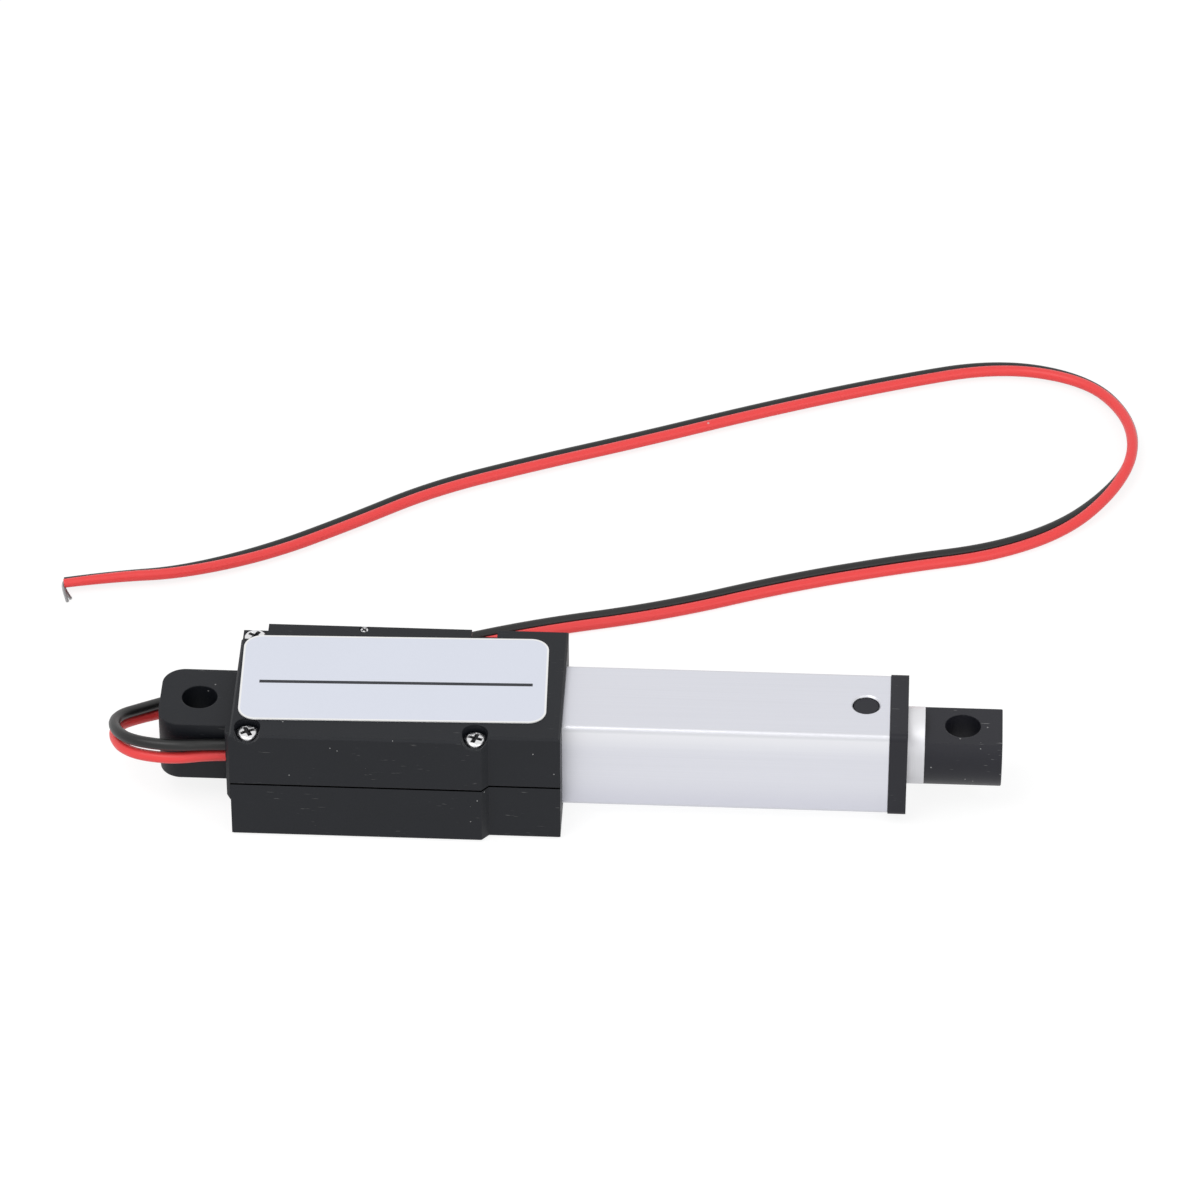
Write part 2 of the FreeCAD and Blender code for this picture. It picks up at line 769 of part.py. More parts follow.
def make_rod_end():
    """Round end with two flats, the front eye, and a spigot inside the rod."""
    body = new_body("rod_end")
    start = rod_shoulder
    round_bar = new_sketch(body, "round_bar", "YZ_Plane", start)
    draw_circle(round_bar, 0, 0, size["rod_diameter"])
    bar = pad(body, round_bar, size["rod_end_length"])
    tip = rod_end_front.value

    def is_tip(edge):
        return abs(edge.BoundBox.XMin - tip) < same_place

    bevel_edges(body, bar, size["rod_end_chamfer"], is_tip)
    flats = new_sketch(body, "flats", "YZ_Plane", start)
    radius = size["rod_diameter"] / 2
    flat = size["rod_end_flats"] / 2
    draw_rectangle(flats, -radius, radius, flat, radius)
    draw_rectangle(flats, -radius, radius, -radius, -flat)
    pocket(body, flats, size["rod_end_length"])
    spigot = new_sketch(body, "spigot", "YZ_Plane", start - size["spigot_length"])
    draw_circle(spigot, 0, 0, spigot_diameter)
    pad(body, spigot, size["spigot_length"])
    eye = new_sketch(body, "eye", "XY_Plane", -flat)
    draw_circle(eye, rod_eye, 0, size["eye_diameter"])
    pocket(body, eye, size["rod_end_flats"])
    keep(body, "rod_end")


def make_nut():
    """Square nut that the tube keeps from turning, with a spigot in the rod."""
    body = new_body("drive_nut")
    block = new_sketch(body, "block", "YZ_Plane", nut_rear)
    draw_centred(block, nut_side, nut_side)
    pad(body, block, size["nut_length"])
    spigot = new_sketch(body, "spigot", "YZ_Plane", nut_front)
    draw_circle(spigot, 0, 0, spigot_diameter)
    pad(body, spigot, size["nut_spigot"])
    groove = new_sketch(body, "groove", "YZ_Plane", nut_rear)
    half = nut_side / 2
    draw_rectangle(groove, half - size["lead_groove_width"], half,
                   half - size["lead_groove_depth"], half)
    pocket(body, groove, size["nut_length"])
    bore = new_sketch(body, "bore", "YZ_Plane", nut_rear)
    draw_circle(bore, 0, 0, size["screw_thread_diameter"] + size["thread_clearance"] * 2)
    pocket(body, bore, size["nut_length"] + size["nut_spigot"])
    keep(body, "drive_nut")


# Gear train: the centre axis holds the motor pinion, the second gear and the output gear, and the
# idler axle beside it holds the first and third gears. Every pair has the same tooth counts.
module = size["gear_module"]
centre_distance = module * (size["pinion_teeth"] + size["wheel_teeth"]) / 2
addendum = 0.95
dedendum = 1.25
tooth_sink = 0.9
# widths of a tooth at its root and at its tip, as shares of its width on the pitch circle
pinion_flank = (1.15, 0.45)
wheel_flank = (1.45, 0.5)


def add_teeth(body, word, teeth, flank, start, face, turn):
    """A disc with a flat for each gap, and one straight-flanked tooth, thinned for backlash and
    repeated round the axis."""
    pitch = module * teeth / 2
    root = pitch - module * dedendum
    tip = pitch + module * addendum
    half = module * (math.pi / 4) - size["tooth_backlash"]
    disc = new_sketch(body, word + "_disc", "YZ_Plane", start, turn)
    steps = [math.tau * number / teeth.value for number in range(int(teeth.value))]
    draw_polygon(disc, [(root * math.cos(step), root * math.sin(step)) for step in steps])
    pad(body, disc, face)
    tooth = new_sketch(body, word + "_tooth", "YZ_Plane", start, turn)
    root_half = half * flank[0]
    tip_half = half * flank[1]
    foot = root * tooth_sink
    draw_polygon(tooth, [(foot, -root_half), (tip, -tip_half), (tip, tip_half), (foot, root_half)])
    tooth_pad = pad(body, tooth, face)
    pattern = body.newObject("PartDesign::PolarPattern", body.Name + "_" + word + "_teeth")
    pattern.Originals = [tooth_pad]
    pattern.Axis = (tooth, ["N_Axis"])
    pattern.Angle = 360
    tie(pattern, "Occurrences", teeth)
    body.Tip = pattern
    document.recompute()


def bore_gear(body, diameter, start, length):
    bore = new_sketch(body, "bore", "YZ_Plane", start)
    draw_circle(bore, 0, 0, diameter)
    pocket(body, bore, length)


def add_pinion(body, start, face, towards):
    """A pinion with a tooth on the line of centres."""
    add_teeth(body, "pinion", size["pinion_teeth"], pinion_flank, start, face, towards)


def add_wheel(body, start, face, towards):
    """A wheel with a gap on the line of centres."""
    half_pitch = as_size(180) / size["wheel_teeth"]
    add_teeth(body, "wheel", size["wheel_teeth"], wheel_flank, start, face, half_pitch + towards)


def make_compound(name, start, face, next_start, next_face, on_idler):
    """A wheel and a pinion in one piece, free on its axle."""
    body = new_body(name)
    towards = 180 if on_idler else 0
    axle = size["idler_diameter"] if on_idler else size["tail_diameter"]
    end = next_start + next_face
    add_wheel(body, start, face, towards)
    add_pinion(body, start + face, end - start - face, towards)
    bore_gear(body, axle + size["running_clearance"] * 2, start, end - start)
    if on_idler:
        tie(body, "Placement.Base.y", centre_distance)
    keep(body, name)


def make_gears():
    pinion = new_body("motor_pinion")
    add_pinion(pinion, first_start, size["first_face"], 0)
    bore_gear(pinion, size["motor_shaft_diameter"], first_start, size["first_face"])
    keep(pinion, "motor_pinion")
    make_compound("first_gear", first_start, size["first_face"], second_start, size["second_face"], True)
    make_compound("second_gear", second_start, size["second_face"], third_start, size["third_face"], False)
    make_compound("third_gear", third_start, size["third_face"], output_start, size["output_face"], True)
    output = new_body("output_gear")
    add_wheel(output, output_start, size["output_face"], 0)
    bore_gear(output, size["gear_seat_diameter"], output_start, size["output_face"])
    keep(output, "output_gear")


def make_lead_screw():
    """Stepped screw: a tail for the second gear, the output gear's seat, the bush's journal and the
    threaded length, which is plain here at its outer diameter."""
    body = new_body("lead_screw")
    journal_start = plates_front - size["plate_gap"]
    thread_start = bush_end + size["end_float"]
    thread_end = nut_front + size["nut_spigot"] + size["stroke"]
    profile = new_sketch(body, "profile", "XZ_Plane")
    steps = [
        (second_start, size["tail_diameter"]),
        (output_start, size["gear_seat_diameter"]),
        (journal_start, size["journal_diameter"]),
        (thread_start, size["screw_thread_diameter"]),
    ]
    ends = [start for start, diameter in steps[1:]] + [thread_end]
    points = [(second_start, 0)]
    for (start, diameter), end in zip(steps, ends):
        points += [(start, diameter / 2), (end, diameter / 2)]
    points.append((thread_end, 0))
    draw_polygon(profile, points)
    turned = body.newObject("PartDesign::Revolution", "lead_screw_turned")
    turned.Profile = profile
    turned.ReferenceAxis = (profile, ["H_Axis"])
    turned.Angle = 360
    document.recompute()
    keep(body, "lead_screw")


def new_pillar(name, y, z):
    """A hexagonal spacer between the two plates."""
    pillar = document.addObject("Part::Prism", name)
    pillar.Polygon = 6
    pillar.Placement = Placement(Vector(), Rotation(Vector(0, 1, 0), 90))
    tie(pillar, "Circumradius", size["pillar_radius"])
    tie(pillar, "Height", plates_front - plates_rear)
    for prop, amount in (("x", plates_rear), ("y", y), ("z", z)):
        tie(pillar, "Placement.Base." + prop, amount)
    return pillar


def make_gearbox():
    """Two brass plates on four pillars, the idler axle and the bush that carries the screw."""
    width = size["motor_diameter"]
    height = size["motor_height"]
    holes = {
        "rear": size["motor_shaft_diameter"] + size["gear_gap"] * 2,
        "front": size["bush_body_diameter"],
    }
    for side, start in (("rear", gearbox_rear), ("front", plates_front)):
        body = new_body(f"gearbox_{side}_plate")
        plate = new_sketch(body, "plate", "YZ_Plane", start)
        draw_centred(plate, width, height)
        pad(body, plate, size["plate_thickness"])
        bores = new_sketch(body, "bores", "YZ_Plane", start)
        draw_circle(bores, 0, 0, holes[side])
        draw_circle(bores, centre_distance, 0, size["idler_diameter"])
        pocket(body, bores, size["plate_thickness"])
        keep(body, f"gearbox_{side}_plate")
    pillars = []
    for across in (1, -1):
        for up in (1, -1):
            y = (width / 2 - size["pillar_inset"]) * across
            z = (height / 2 - size["pillar_inset"]) * up
            pillars.append(new_pillar(f"pillar_{len(pillars) + 1}", y, z))
    keep(group("pillar_set", pillars), "gearbox_pillars")
    axle = new_rod("idler", size["idler_diameter"], gearbox_rear, gearbox_front - gearbox_rear,
                   centre_distance)
    keep(axle, "idler_axle")
    bush = new_body("screw_bush")
    profile = new_sketch(bush, "profile", "XZ_Plane")
    bore = size["journal_diameter"] / 2 + size["running_clearance"]
    draw_polygon(profile, [
        (plates_front, bore),
        (plates_front, size["bush_body_diameter"] / 2),
        (gearbox_front, size["bush_body_diameter"] / 2),
        (gearbox_front, size["bush_flange_diameter"] / 2),
        (bush_end, size["bush_flange_diameter"] / 2),
        (bush_end, bore),
    ])
    turned = bush.newObject("PartDesign::Revolution", "screw_bush_turned")
    turned.Profile = profile
    turned.ReferenceAxis = (profile, ["H_Axis"])
    turned.Angle = 360
    document.recompute()
    keep(bush, "screw_bush")


def flat_sided(name, diameter, height, start, length):
    """A round bar with flats above and below."""
    bar = new_rod(name + "_bar", diameter, start, length)
    slab = new_box(name + "_slab", start, -diameter / 2, -height / 2, length, diameter, height)
    return common(name + "_form", bar, slab)


def make_motor():
    """Flat-sided can with two magnets, end bell and terminals, and a three-pole rotor."""
    diameter = size["motor_diameter"]
    height = size["motor_height"]
    wall = size["motor_wall"]
    shaft = size["motor_shaft_diameter"]
    shaft_hole = shaft + size["running_clearance"] * 2
    can_outside = flat_sided("can_outside", diameter, height, can_rear, size["can_length"])
    can_inside = flat_sided("can_inside", diameter - wall * 2, height - wall * 2, can_rear,
                            size["can_length"] - wall)
    can_hole = new_rod("can_hole", shaft_hole, can_rear, size["can_length"])
    keep(cut("can", cut("can_shell", can_outside, can_inside), can_hole), "motor_can")
    bell = flat_sided("bell", diameter, height, motor_rear, size["bell_thickness"])
    bell_hole = new_rod("bell_hole", shaft_hole, motor_rear, size["bell_thickness"])
    keep(cut("end_bell", bell, bell_hole), "motor_end_bell")
    tabs = []
    for side in (1, -1):
        middle = size["terminal_spacing"] / 2 * side
        tabs.append(new_box(f"tab_{len(tabs) + 1}", motor_rear - size["terminal_length"],
                            middle - size["terminal_thickness"] / 2, -size["terminal_width"] / 2,
                            size["terminal_length"], size["terminal_thickness"], size["terminal_width"]))
    keep(group("tab_set", tabs), "motor_terminals")
    magnet_outside = diameter - wall * 2
    magnet_inside = magnet_outside - size["magnet_thickness"] * 2
    magnet_start = can_rear + size["magnet_end_room"]
    magnet_length = size["can_length"] - wall - size["magnet_end_room"] * 2
    ring = cut("magnet_ring",
               new_rod("magnet_ring_outside", magnet_outside, magnet_start, magnet_length),
               new_rod("magnet_ring_inside", magnet_inside, magnet_start, magnet_length))
    band = new_box("magnet_band", magnet_start, -diameter / 2, -size["magnet_height"] / 2,
                   magnet_length, diameter, size["magnet_height"])
    keep(common("magnets", ring, band), "motor_magnets")
    core_space = smaller(magnet_inside, height - wall * 2)
    make_rotor(core_space - size["air_gap"] * 2, magnet_start + size["core_inset"],
               magnet_length - size["core_inset"] * 2)


def make_rotor(core_diameter, core_start, core_length):
    """Shaft, three-pole core, one winding on each arm, and the commutator."""
    shaft = size["motor_shaft_diameter"]
    shaft_start = motor_rear
    shaft_end = first_start + size["first_face"]
    keep(new_rod("shaft", shaft, shaft_start, shaft_end - shaft_start), "motor_shaft")
    poles = 3
    pole_angle = 360 / poles
    rim = core_diameter / 2
    shoe = rim - size["core_shoe_thickness"]
    arm = size["core_arm_width"] / 2
    hub = size["core_hub_diameter"] / 2
    body = new_body("motor_core")
    hub_sketch = new_sketch(body, "hub", "YZ_Plane", core_start)
    draw_circle(hub_sketch, 0, 0, size["core_hub_diameter"])
    pad(body, hub_sketch, core_length)
    pole = new_sketch(body, "pole", "YZ_Plane", core_start)
    wing = size["core_shoe_width"] / 2
    tip = rim * math.cos(math.radians(pole_angle / 4))
    draw_polygon(pole, [
        (-arm, hub / 2), (arm, hub / 2), (arm, shoe), (wing, shoe - size["core_shoe_thickness"]),
        (wing, tip - size["core_shoe_thickness"]), (arm, rim), (-arm, rim),
        (-wing, tip - size["core_shoe_thickness"]), (-wing, shoe - size["core_shoe_thickness"]),
        (-arm, shoe)])
    pole_pad = pad(body, pole, core_length)
    pattern = body.newObject("PartDesign::PolarPattern", "motor_core_poles")
    pattern.Originals = [pole_pad]
    pattern.Axis = (pole, ["N_Axis"])
    pattern.Angle = 360
    pattern.Occurrences = poles
    body.Tip = pattern
    document.recompute()
    bore_gear(body, shaft, core_start, core_length)
    keep(body, "motor_core")
    turns = size["winding_thickness"]
    gap = size["fit_clearance"]
    low = hub + gap
    coils = []
    for number in range(poles):
        coil = new_box(f"coil_{number + 1}", core_start - turns, -arm - turns, low,
                       core_length + turns * 2, (arm + turns) * 2,
                       shoe - size["core_shoe_thickness"] - gap - low)
        slot = new_box(f"coil_slot_{number + 1}", core_start, -arm, low - gap,
                       core_length, arm * 2, rim)
        winding = cut(f"winding_{number + 1}", coil, slot)
        winding.Placement = Placement(Vector(), Rotation(Vector(1, 0, 0), pole_angle * number))
        coils.append(winding)
    keep(group("winding_set", coils), "motor_windings")
    commutator_start = core_start - turns - size["fit_clearance"] - size["commutator_length"]
    sleeve = new_rod("commutator_sleeve", size["commutator_diameter"], commutator_start,
                     size["commutator_length"])
    hole = new_rod("commutator_hole", shaft, commutator_start, size["commutator_length"])
    keep(cut("commutator", sleeve, hole), "motor_commutator")


def make_limit_switches():
    """Board across the housing with the rear switch and two diodes, and the front switch in a corner
    of the tube with its flat lead. The nut presses one switch at each end of the stroke."""
    board = new_body("limit_board")
    plate = new_sketch(board, "plate", "YZ_Plane", board_rear)
    edge = cavity_height - size["board_clearance"]
    side = size["shell_wall"] + size["board_clearance"]
    draw_rectangle(plate, side - narrow_front, size["housing_back"] - side, -edge, edge)
    pad(board, plate, size["board_thickness"])
    hole = new_sketch(board, "hole", "YZ_Plane", board_rear)
    draw_circle(hole, 0, 0, size["board_hole_diameter"])
    pocket(board, hole, size["board_thickness"])
    keep(board, "limit_board")
    rear_top = -size["rear_switch_drop"]
    rear_case = new_box("rear_case", shoulder_rear, -size["rear_switch_width"] / 2,
                        rear_top - size["rear_switch_height"], size["rear_switch_thickness"],
                        size["rear_switch_width"], size["rear_switch_height"])
    side = size["button_side"]
    rear_button = new_box("rear_button", shoulder_rear + size["rear_switch_thickness"], -side / 2,
                          rear_top - (size["rear_switch_height"] + side) / 2,
                          size["button_length"], side, side)
    keep(fuse("rear_switch", [rear_case, rear_button]), "rear_limit_switch")
    corner = tube_bore / 2 - size["switch_wall_gap"]
    low = corner - size["front_switch_side"]
    front_case = new_box("front_case", front_switch_start, low, low, size["front_switch_length"],
                         size["front_switch_side"], size["front_switch_side"])
    middle = low + (size["front_switch_side"] - side) / 2
    front_button = new_box("front_button", front_button_start, middle, middle,
                           size["button_length"], side, side)
    keep(fuse("front_switch", [front_case, front_button]), "front_limit_switch")
    lead_top = tube_bore / 2 - size["running_clearance"]
    lead = new_box("lead", shoulder_rear, corner - size["lead_width"], lead_top - size["lead_thickness"],
                   front_switch_start - shoulder_rear, size["lead_width"], size["lead_thickness"])
    keep(lead, "switch_lead")
    diodes = []
    for up in (1, -1):
        diodes.append(new_box(f"diode_{len(diodes) + 1}", board_rear - size["diode_thickness"],
                              -size["diode_length"] / 2,
                              size["diode_offset"] * up - size["diode_height"] / 2,
                              size["diode_thickness"], size["diode_length"], size["diode_height"]))
    keep(group("diode_set", diodes), "limit_diodes")


# Wires: hand-chosen points from the flange, round the tang and over the floor to the bare ends
red_route = [
    (4.6, -5.45, 0.1), (1.6, -5.5, 0.1), (-3.1, -6.5, 0.1), (-8.5, -4.6, -0.5),
    (-10.3, 1.1, -1.8), (-6.3, 5.4, -3.4), (-0.2, 9.5, -5.1), (9.1, 14.3, -6.45),
    (20.9, 19.9, -6.45), (34.9, 25.8, -6.45), (50.6, 29.9, -6.45), (65.2, 36, -6.45),
    (78.4, 40.1, -6.45), (88.6, 42.7, -6.45), (97, 47.4, -6.2), (102.4, 53.9, -5.45),
    (105.2, 61.4, -5), (104.2, 69.4, -5.2), (99.3, 76.4, -5.65), (89, 79, -6),
    (75.8, 74.7, -6.05), (61.1, 68.8, -6.05), (46.7, 62.2, -6.05), (33.9, 56.8, -6.05),
    (22.6, 51.5, -6.05), (13.5, 44.7, -6.05), (4.4, 38.5, -6.05), (-5.5, 34.1, -5.75),
    (-13.4, 32.95, -5.65), (-19, 31.6, -5.75),
]
black_route = [
    (4.6, -5.45, 1.6), (1.6, -5.5, 1.6), (-3.1, -6.4, 1.6), (-8.5, -4.4, 1),
    (-10.3, 1.1, -0.45), (-6.3, 5.3, -2.05), (-0.8, 10.6, -4.05), (8.4, 15.6, -6.2),
    (20.3, 21.2, -6.45), (34.4, 27.1, -6.45), (50.1, 31.2, -6.45), (64.7, 37.3, -6.45),
    (78, 41.5, -6.45), (88.1, 44, -6.45), (96.1, 48.5, -6.45), (101.4, 54.5, -6.45),
    (105, 61.4, -6.45), (104.9, 69.7, -6.45), (100, 77.5, -6.45), (89, 80.4, -6.45),
    (75.3, 76, -6.45), (60.6, 70.1, -6.45), (46.1, 63.5, -6.45), (33.3, 58.1, -6.45),
    (21.9, 52.7, -6.45), (12.7, 45.8, -6.45), (3.7, 39.7, -6.45), (-5.9, 35.3, -6.45),
    (-13.6, 34.1, -6.45), (-19.1, 32.8, -6.45),
]
red_strands = [(-19, 31.6, -5.75), (-19.2, 31.3, -5.9), (-18.4, 29.6, -6.85)]
black_strands = [(-19.1, 32.8, -6.45), (-19.4, 32.3, -6.65), (-18.1, 30.2, -6.85)]
arc_share = 0.45
volume_tolerance = 0.01
section_sides = 6


def rounded_path(points):
    """Straight runs joined by tangent arcs, each as large as its shorter run allows."""
    points = [Vector(*point) for point in points]
    edges = []
    radii = []
    last = points[0]
    for before, corner, after in zip(points, points[1:], points[2:]):
        back = before - corner
        ahead = after - corner
        reach = arc_share * min(back.Length, ahead.Length)
        half_turn = (math.pi - back.getAngle(ahead)) / 2
        radii.append(reach / math.tan(half_turn))
        back.normalize()
        ahead.normalize()
        start = corner + back * reach
        end = corner + ahead * reach
        middle_way = (back + ahead).normalize()
        depth = radii[-1] / math.cos(half_turn) - radii[-1]
        edges.append(Part.LineSegment(last, start).toShape())
        edges.append(Part.Arc(start, corner + middle_way * depth, end).toShape())
        last = end
    edges.append(Part.LineSegment(last, points[-1]).toShape())
    return Part.Wire(edges), radii


def make_wire(name, points, diameter):
    """A plain tube with few sides along the path, its volume compared with section times length."""
    path, radii = rounded_path(points)
    first = Vector(*points[0])
    heading = Vector(*points[1]) - first
    circle = Part.Circle(first, heading, diameter.value / 2)
    corners = [circle.value(math.tau * side / section_sides) for side in range(section_sides)]
    section = Part.makePolygon(corners + corners[:1])
    tube = path.makePipeShell([section], True, True)
    expected = Part.Face(section).Area * path.Length
    if abs(tube.Volume - expected) > volume_tolerance * expected:
        raise RuntimeError(f"{name}: tube volume {tube.Volume:.2f}, expected {expected:.2f}")
    print(name, f"length {path.Length:.1f}", "radii", [round(radius, 1) for radius in radii])
    item = document.addObject("Part::Feature", name + "_tube")
    item.Shape = tube
    item.Placement = Placement()
    keep(item, name)


make_rear_mount()
make_shell("upper_housing", True)
make_shell("lower_housing", False)
make_housing_screws()
make_label()
make_tube()
make_front_cap()
make_rod()
make_rod_end()
make_nut()
make_gears()
make_lead_screw()
make_gearbox()
make_motor()
make_limit_switches()
make_wire("red_wire", red_route, size["wire_diameter"])
make_wire("black_wire", black_route, size["wire_diameter"])
make_wire("red_wire_strands", red_strands, size["strand_diameter"])
make_wire("black_wire_strands", black_strands, size["strand_diameter"])
document.recompute()

for item in document.Objects:
    if "Invalid" in item.State or "Error" in item.State:
        raise RuntimeError(f"{item.Name} failed: {item.State}")
for item in subparts:
    if item.Shape.isNull() or not item.Shape.isValid() or not item.Shape.Solids:
        raise RuntimeError(f"{item.Label} has no valid solid")
os.makedirs("parts", exist_ok=True)
for item in subparts:
    item.Shape.exportStep(os.path.join("parts", item.Label + ".step"))
    print(item.Label, len(item.Shape.Solids), f"{item.Shape.Volume:.2f} mm3")
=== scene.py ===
import math

import bpy
import numpy as np
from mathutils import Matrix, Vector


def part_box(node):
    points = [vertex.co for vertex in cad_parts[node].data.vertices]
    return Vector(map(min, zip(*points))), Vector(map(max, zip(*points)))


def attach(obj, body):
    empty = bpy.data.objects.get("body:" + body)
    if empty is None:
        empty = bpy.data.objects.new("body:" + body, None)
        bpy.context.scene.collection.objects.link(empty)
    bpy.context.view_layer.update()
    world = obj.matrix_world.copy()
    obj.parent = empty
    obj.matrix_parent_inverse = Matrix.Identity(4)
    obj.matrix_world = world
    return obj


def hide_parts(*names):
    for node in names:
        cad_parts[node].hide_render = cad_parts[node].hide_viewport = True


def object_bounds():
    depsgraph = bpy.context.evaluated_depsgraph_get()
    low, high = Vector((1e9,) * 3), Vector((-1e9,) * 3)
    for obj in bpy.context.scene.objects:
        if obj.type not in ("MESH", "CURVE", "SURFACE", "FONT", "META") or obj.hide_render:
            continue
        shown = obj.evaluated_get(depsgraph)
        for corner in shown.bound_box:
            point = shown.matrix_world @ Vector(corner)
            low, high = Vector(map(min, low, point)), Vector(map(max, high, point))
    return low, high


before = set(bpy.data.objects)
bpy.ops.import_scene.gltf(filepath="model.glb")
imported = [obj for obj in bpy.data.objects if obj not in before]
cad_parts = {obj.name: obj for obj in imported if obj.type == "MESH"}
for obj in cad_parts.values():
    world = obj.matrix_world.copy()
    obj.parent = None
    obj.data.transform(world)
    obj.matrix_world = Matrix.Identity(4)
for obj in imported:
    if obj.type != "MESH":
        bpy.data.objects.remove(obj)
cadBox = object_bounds()
scene = bpy.context.scene
scene.view_settings.view_transform = "Standard"
mm = 0.001
print("frame loaded:", len(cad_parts), "nodes")

# camera at the photograph's place
viewpoint = {
    "eye": (73.66, -614.44, 509.13),  # mm
    "azimuth": 2.704,                 # degrees to the left of looking along +Y
    "elevation": 38.53,               # degrees of looking down
    "focal": 5.9661,                  # focal length in image widths
    "sensor": 36.0,
    "clip": (0.02, 20.0),             # metres
}


def placeCamera(look):
    lens = bpy.data.cameras.new("photoCamera")
    lens.sensor_fit = "HORIZONTAL"
    lens.sensor_width = look["sensor"]
    lens.lens = look["sensor"] * look["focal"]
    lens.clip_start, lens.clip_end = look["clip"]
    holder = bpy.data.objects.new("photoCamera", lens)
    holder.location = [value * mm for value in look["eye"]]
    holder.rotation_euler = (math.radians(90 - look["elevation"]), 0, math.radians(look["azimuth"]))
    scene.collection.objects.link(holder)
    scene.camera = holder


placeCamera(viewpoint)

# the two leads, with the route points of the CAD tubes, in mm
leads = {
    "diameter": 1.3,
    "redLength": 298.5,
    "blackLength": 299.5,
    "smoothness": 14,      # steps between two route points
    "ringSteps": 5,
    "pinch": (0.95, 0.8),  # share of the radius that the stripper left at the last two points
}
redRoute = [
    (4.6, -5.45, 0.1), (1.6, -5.5, 0.1), (-3.1, -6.5, 0.1), (-8.5, -4.6, -0.5),
    (-10.3, 1.1, -1.8), (-6.3, 5.4, -3.4), (-0.2, 9.5, -5.1), (9.1, 14.3, -6.45),
    (20.9, 19.9, -6.45), (34.9, 25.8, -6.45), (50.6, 29.9, -6.45), (65.2, 36, -6.45),
    (78.4, 40.1, -6.45), (88.6, 42.7, -6.45), (97, 47.4, -6.2), (102.4, 53.9, -5.45),
    (105.2, 61.4, -5), (104.2, 69.4, -5.2), (99.3, 76.4, -5.65), (89, 79, -6),
    (75.8, 74.7, -6.05), (61.1, 68.8, -6.05), (46.7, 62.2, -6.05), (33.9, 56.8, -6.05),
    (22.6, 51.5, -6.05), (13.5, 44.7, -6.05), (4.4, 38.5, -6.05), (-5.5, 34.1, -5.75),
    (-13.4, 32.95, -5.65), (-19, 31.6, -5.75),
]
blackRoute = [
    (4.6, -5.45, 1.6), (1.6, -5.5, 1.6), (-3.1, -6.4, 1.9), (-8.5, -4.4, 1.2),
    (-10.3, 1.1, -0.45), (-6.3, 5.3, -2.05), (-0.8, 10.6, -4.05), (8.4, 15.6, -6.2),
    (20.3, 21.2, -6.45), (34.4, 27.1, -6.45), (50.1, 31.2, -6.45), (64.7, 37.3, -6.45),
    (78, 41.5, -6.45), (88.1, 44, -6.45), (96.1, 48.5, -6.45), (101.4, 54.5, -6.45),
    (105, 61.4, -6.45), (104.9, 69.7, -6.45), (100, 77.5, -6.45), (89, 80.4, -6.45),
    (75.3, 76, -6.45), (60.6, 70.1, -6.45), (46.1, 63.5, -6.45), (33.3, 58.1, -6.45),
    (21.9, 52.7, -6.45), (12.7, 45.8, -6.45), (3.7, 39.7, -6.45), (-5.9, 35.3, -6.45),
    (-13.6, 34.1, -6.45), (-19.1, 32.8, -6.45),
]


def routeCurve(name, route, steps):
    curve = bpy.data.curves.new(name, "CURVE")
    curve.dimensions = "3D"
    spline = curve.splines.new("NURBS")
    spline.points.add(len(route) - 1)
    controls = np.ones((len(route), 4))
    controls[:, :3] = np.array(route) * mm
    spline.points.foreach_set("co", controls.ravel())
    radius = np.full(len(route), leads["diameter"] / 2 * mm)
    radius[-2:] *= leads["pinch"]
    spline.points.foreach_set("radius", radius)
    spline.order_u = 3
    spline.use_endpoint_u = True
    spline.resolution_u = steps
    return curve


def makeLead(name, route):
    curve = routeCurve(name, route, leads["smoothness"])
    curve.bevel_depth = 1.0  # the points' radius is the lead's own
    curve.bevel_resolution = leads["ringSteps"]
    curve.use_fill_caps = True
    lead = bpy.data.objects.new(name, curve)
    scene.collection.objects.link(lead)
    return lead


redLead = makeLead("redLead", redRoute)
blackLead = makeLead("blackLead", blackRoute)
print("leads laid")


# mesh helpers
def sweptMesh(name, parts, marks=None):
    # each part is an array (rings, sides, 3) of closed rings along a path, with the ends closed by fans;
    # marks, if given, hold one value for each point of the rings, kept as the attribute "mark"
    corners = []
    faces = []
    start = 0
    for rings in parts:
        count, sides = rings.shape[:2]
        index = start + np.arange(count * sides).reshape(count, sides)
        onward = np.roll(index, -1, axis=1)
        quads = np.stack([index[:-1], onward[:-1], onward[1:], index[1:]], axis=-1).reshape(-1, 4)
        first = start + count * sides
        last = first + 1
        opening = np.stack([np.full(sides, first), onward[0], index[0]], axis=-1)
        closing = np.stack([np.full(sides, last), index[-1], onward[-1]], axis=-1)
        corners += [rings.reshape(-1, 3), rings[:1].mean(axis=1), rings[-1:].mean(axis=1)]
        faces += quads.tolist() + opening.tolist() + closing.tolist()
        start = last + 1
    mesh = bpy.data.meshes.new(name)
    mesh.from_pydata(np.concatenate(corners).tolist(), [], faces)
    mesh.update()
    if marks:
        values = [np.concatenate([mark.ravel(), mark[:1].mean(axis=1), mark[-1:].mean(axis=1)])
                  for mark in marks]
        mesh.attributes.new("mark", "FLOAT", "POINT").data.foreach_set("value", np.concatenate(values))
    piece = bpy.data.objects.new(name, mesh)
    scene.collection.objects.link(piece)
    return piece


def smoothStep(low, high, value):
    t = np.clip((value - low) / (high - low), 0, 1)
    return t * t * (3 - 2 * t)


def smoothByAngle(piece, degrees):
    piece.data.shade_smooth()
    piece.data.set_sharp_from_angle(angle=math.radians(degrees))


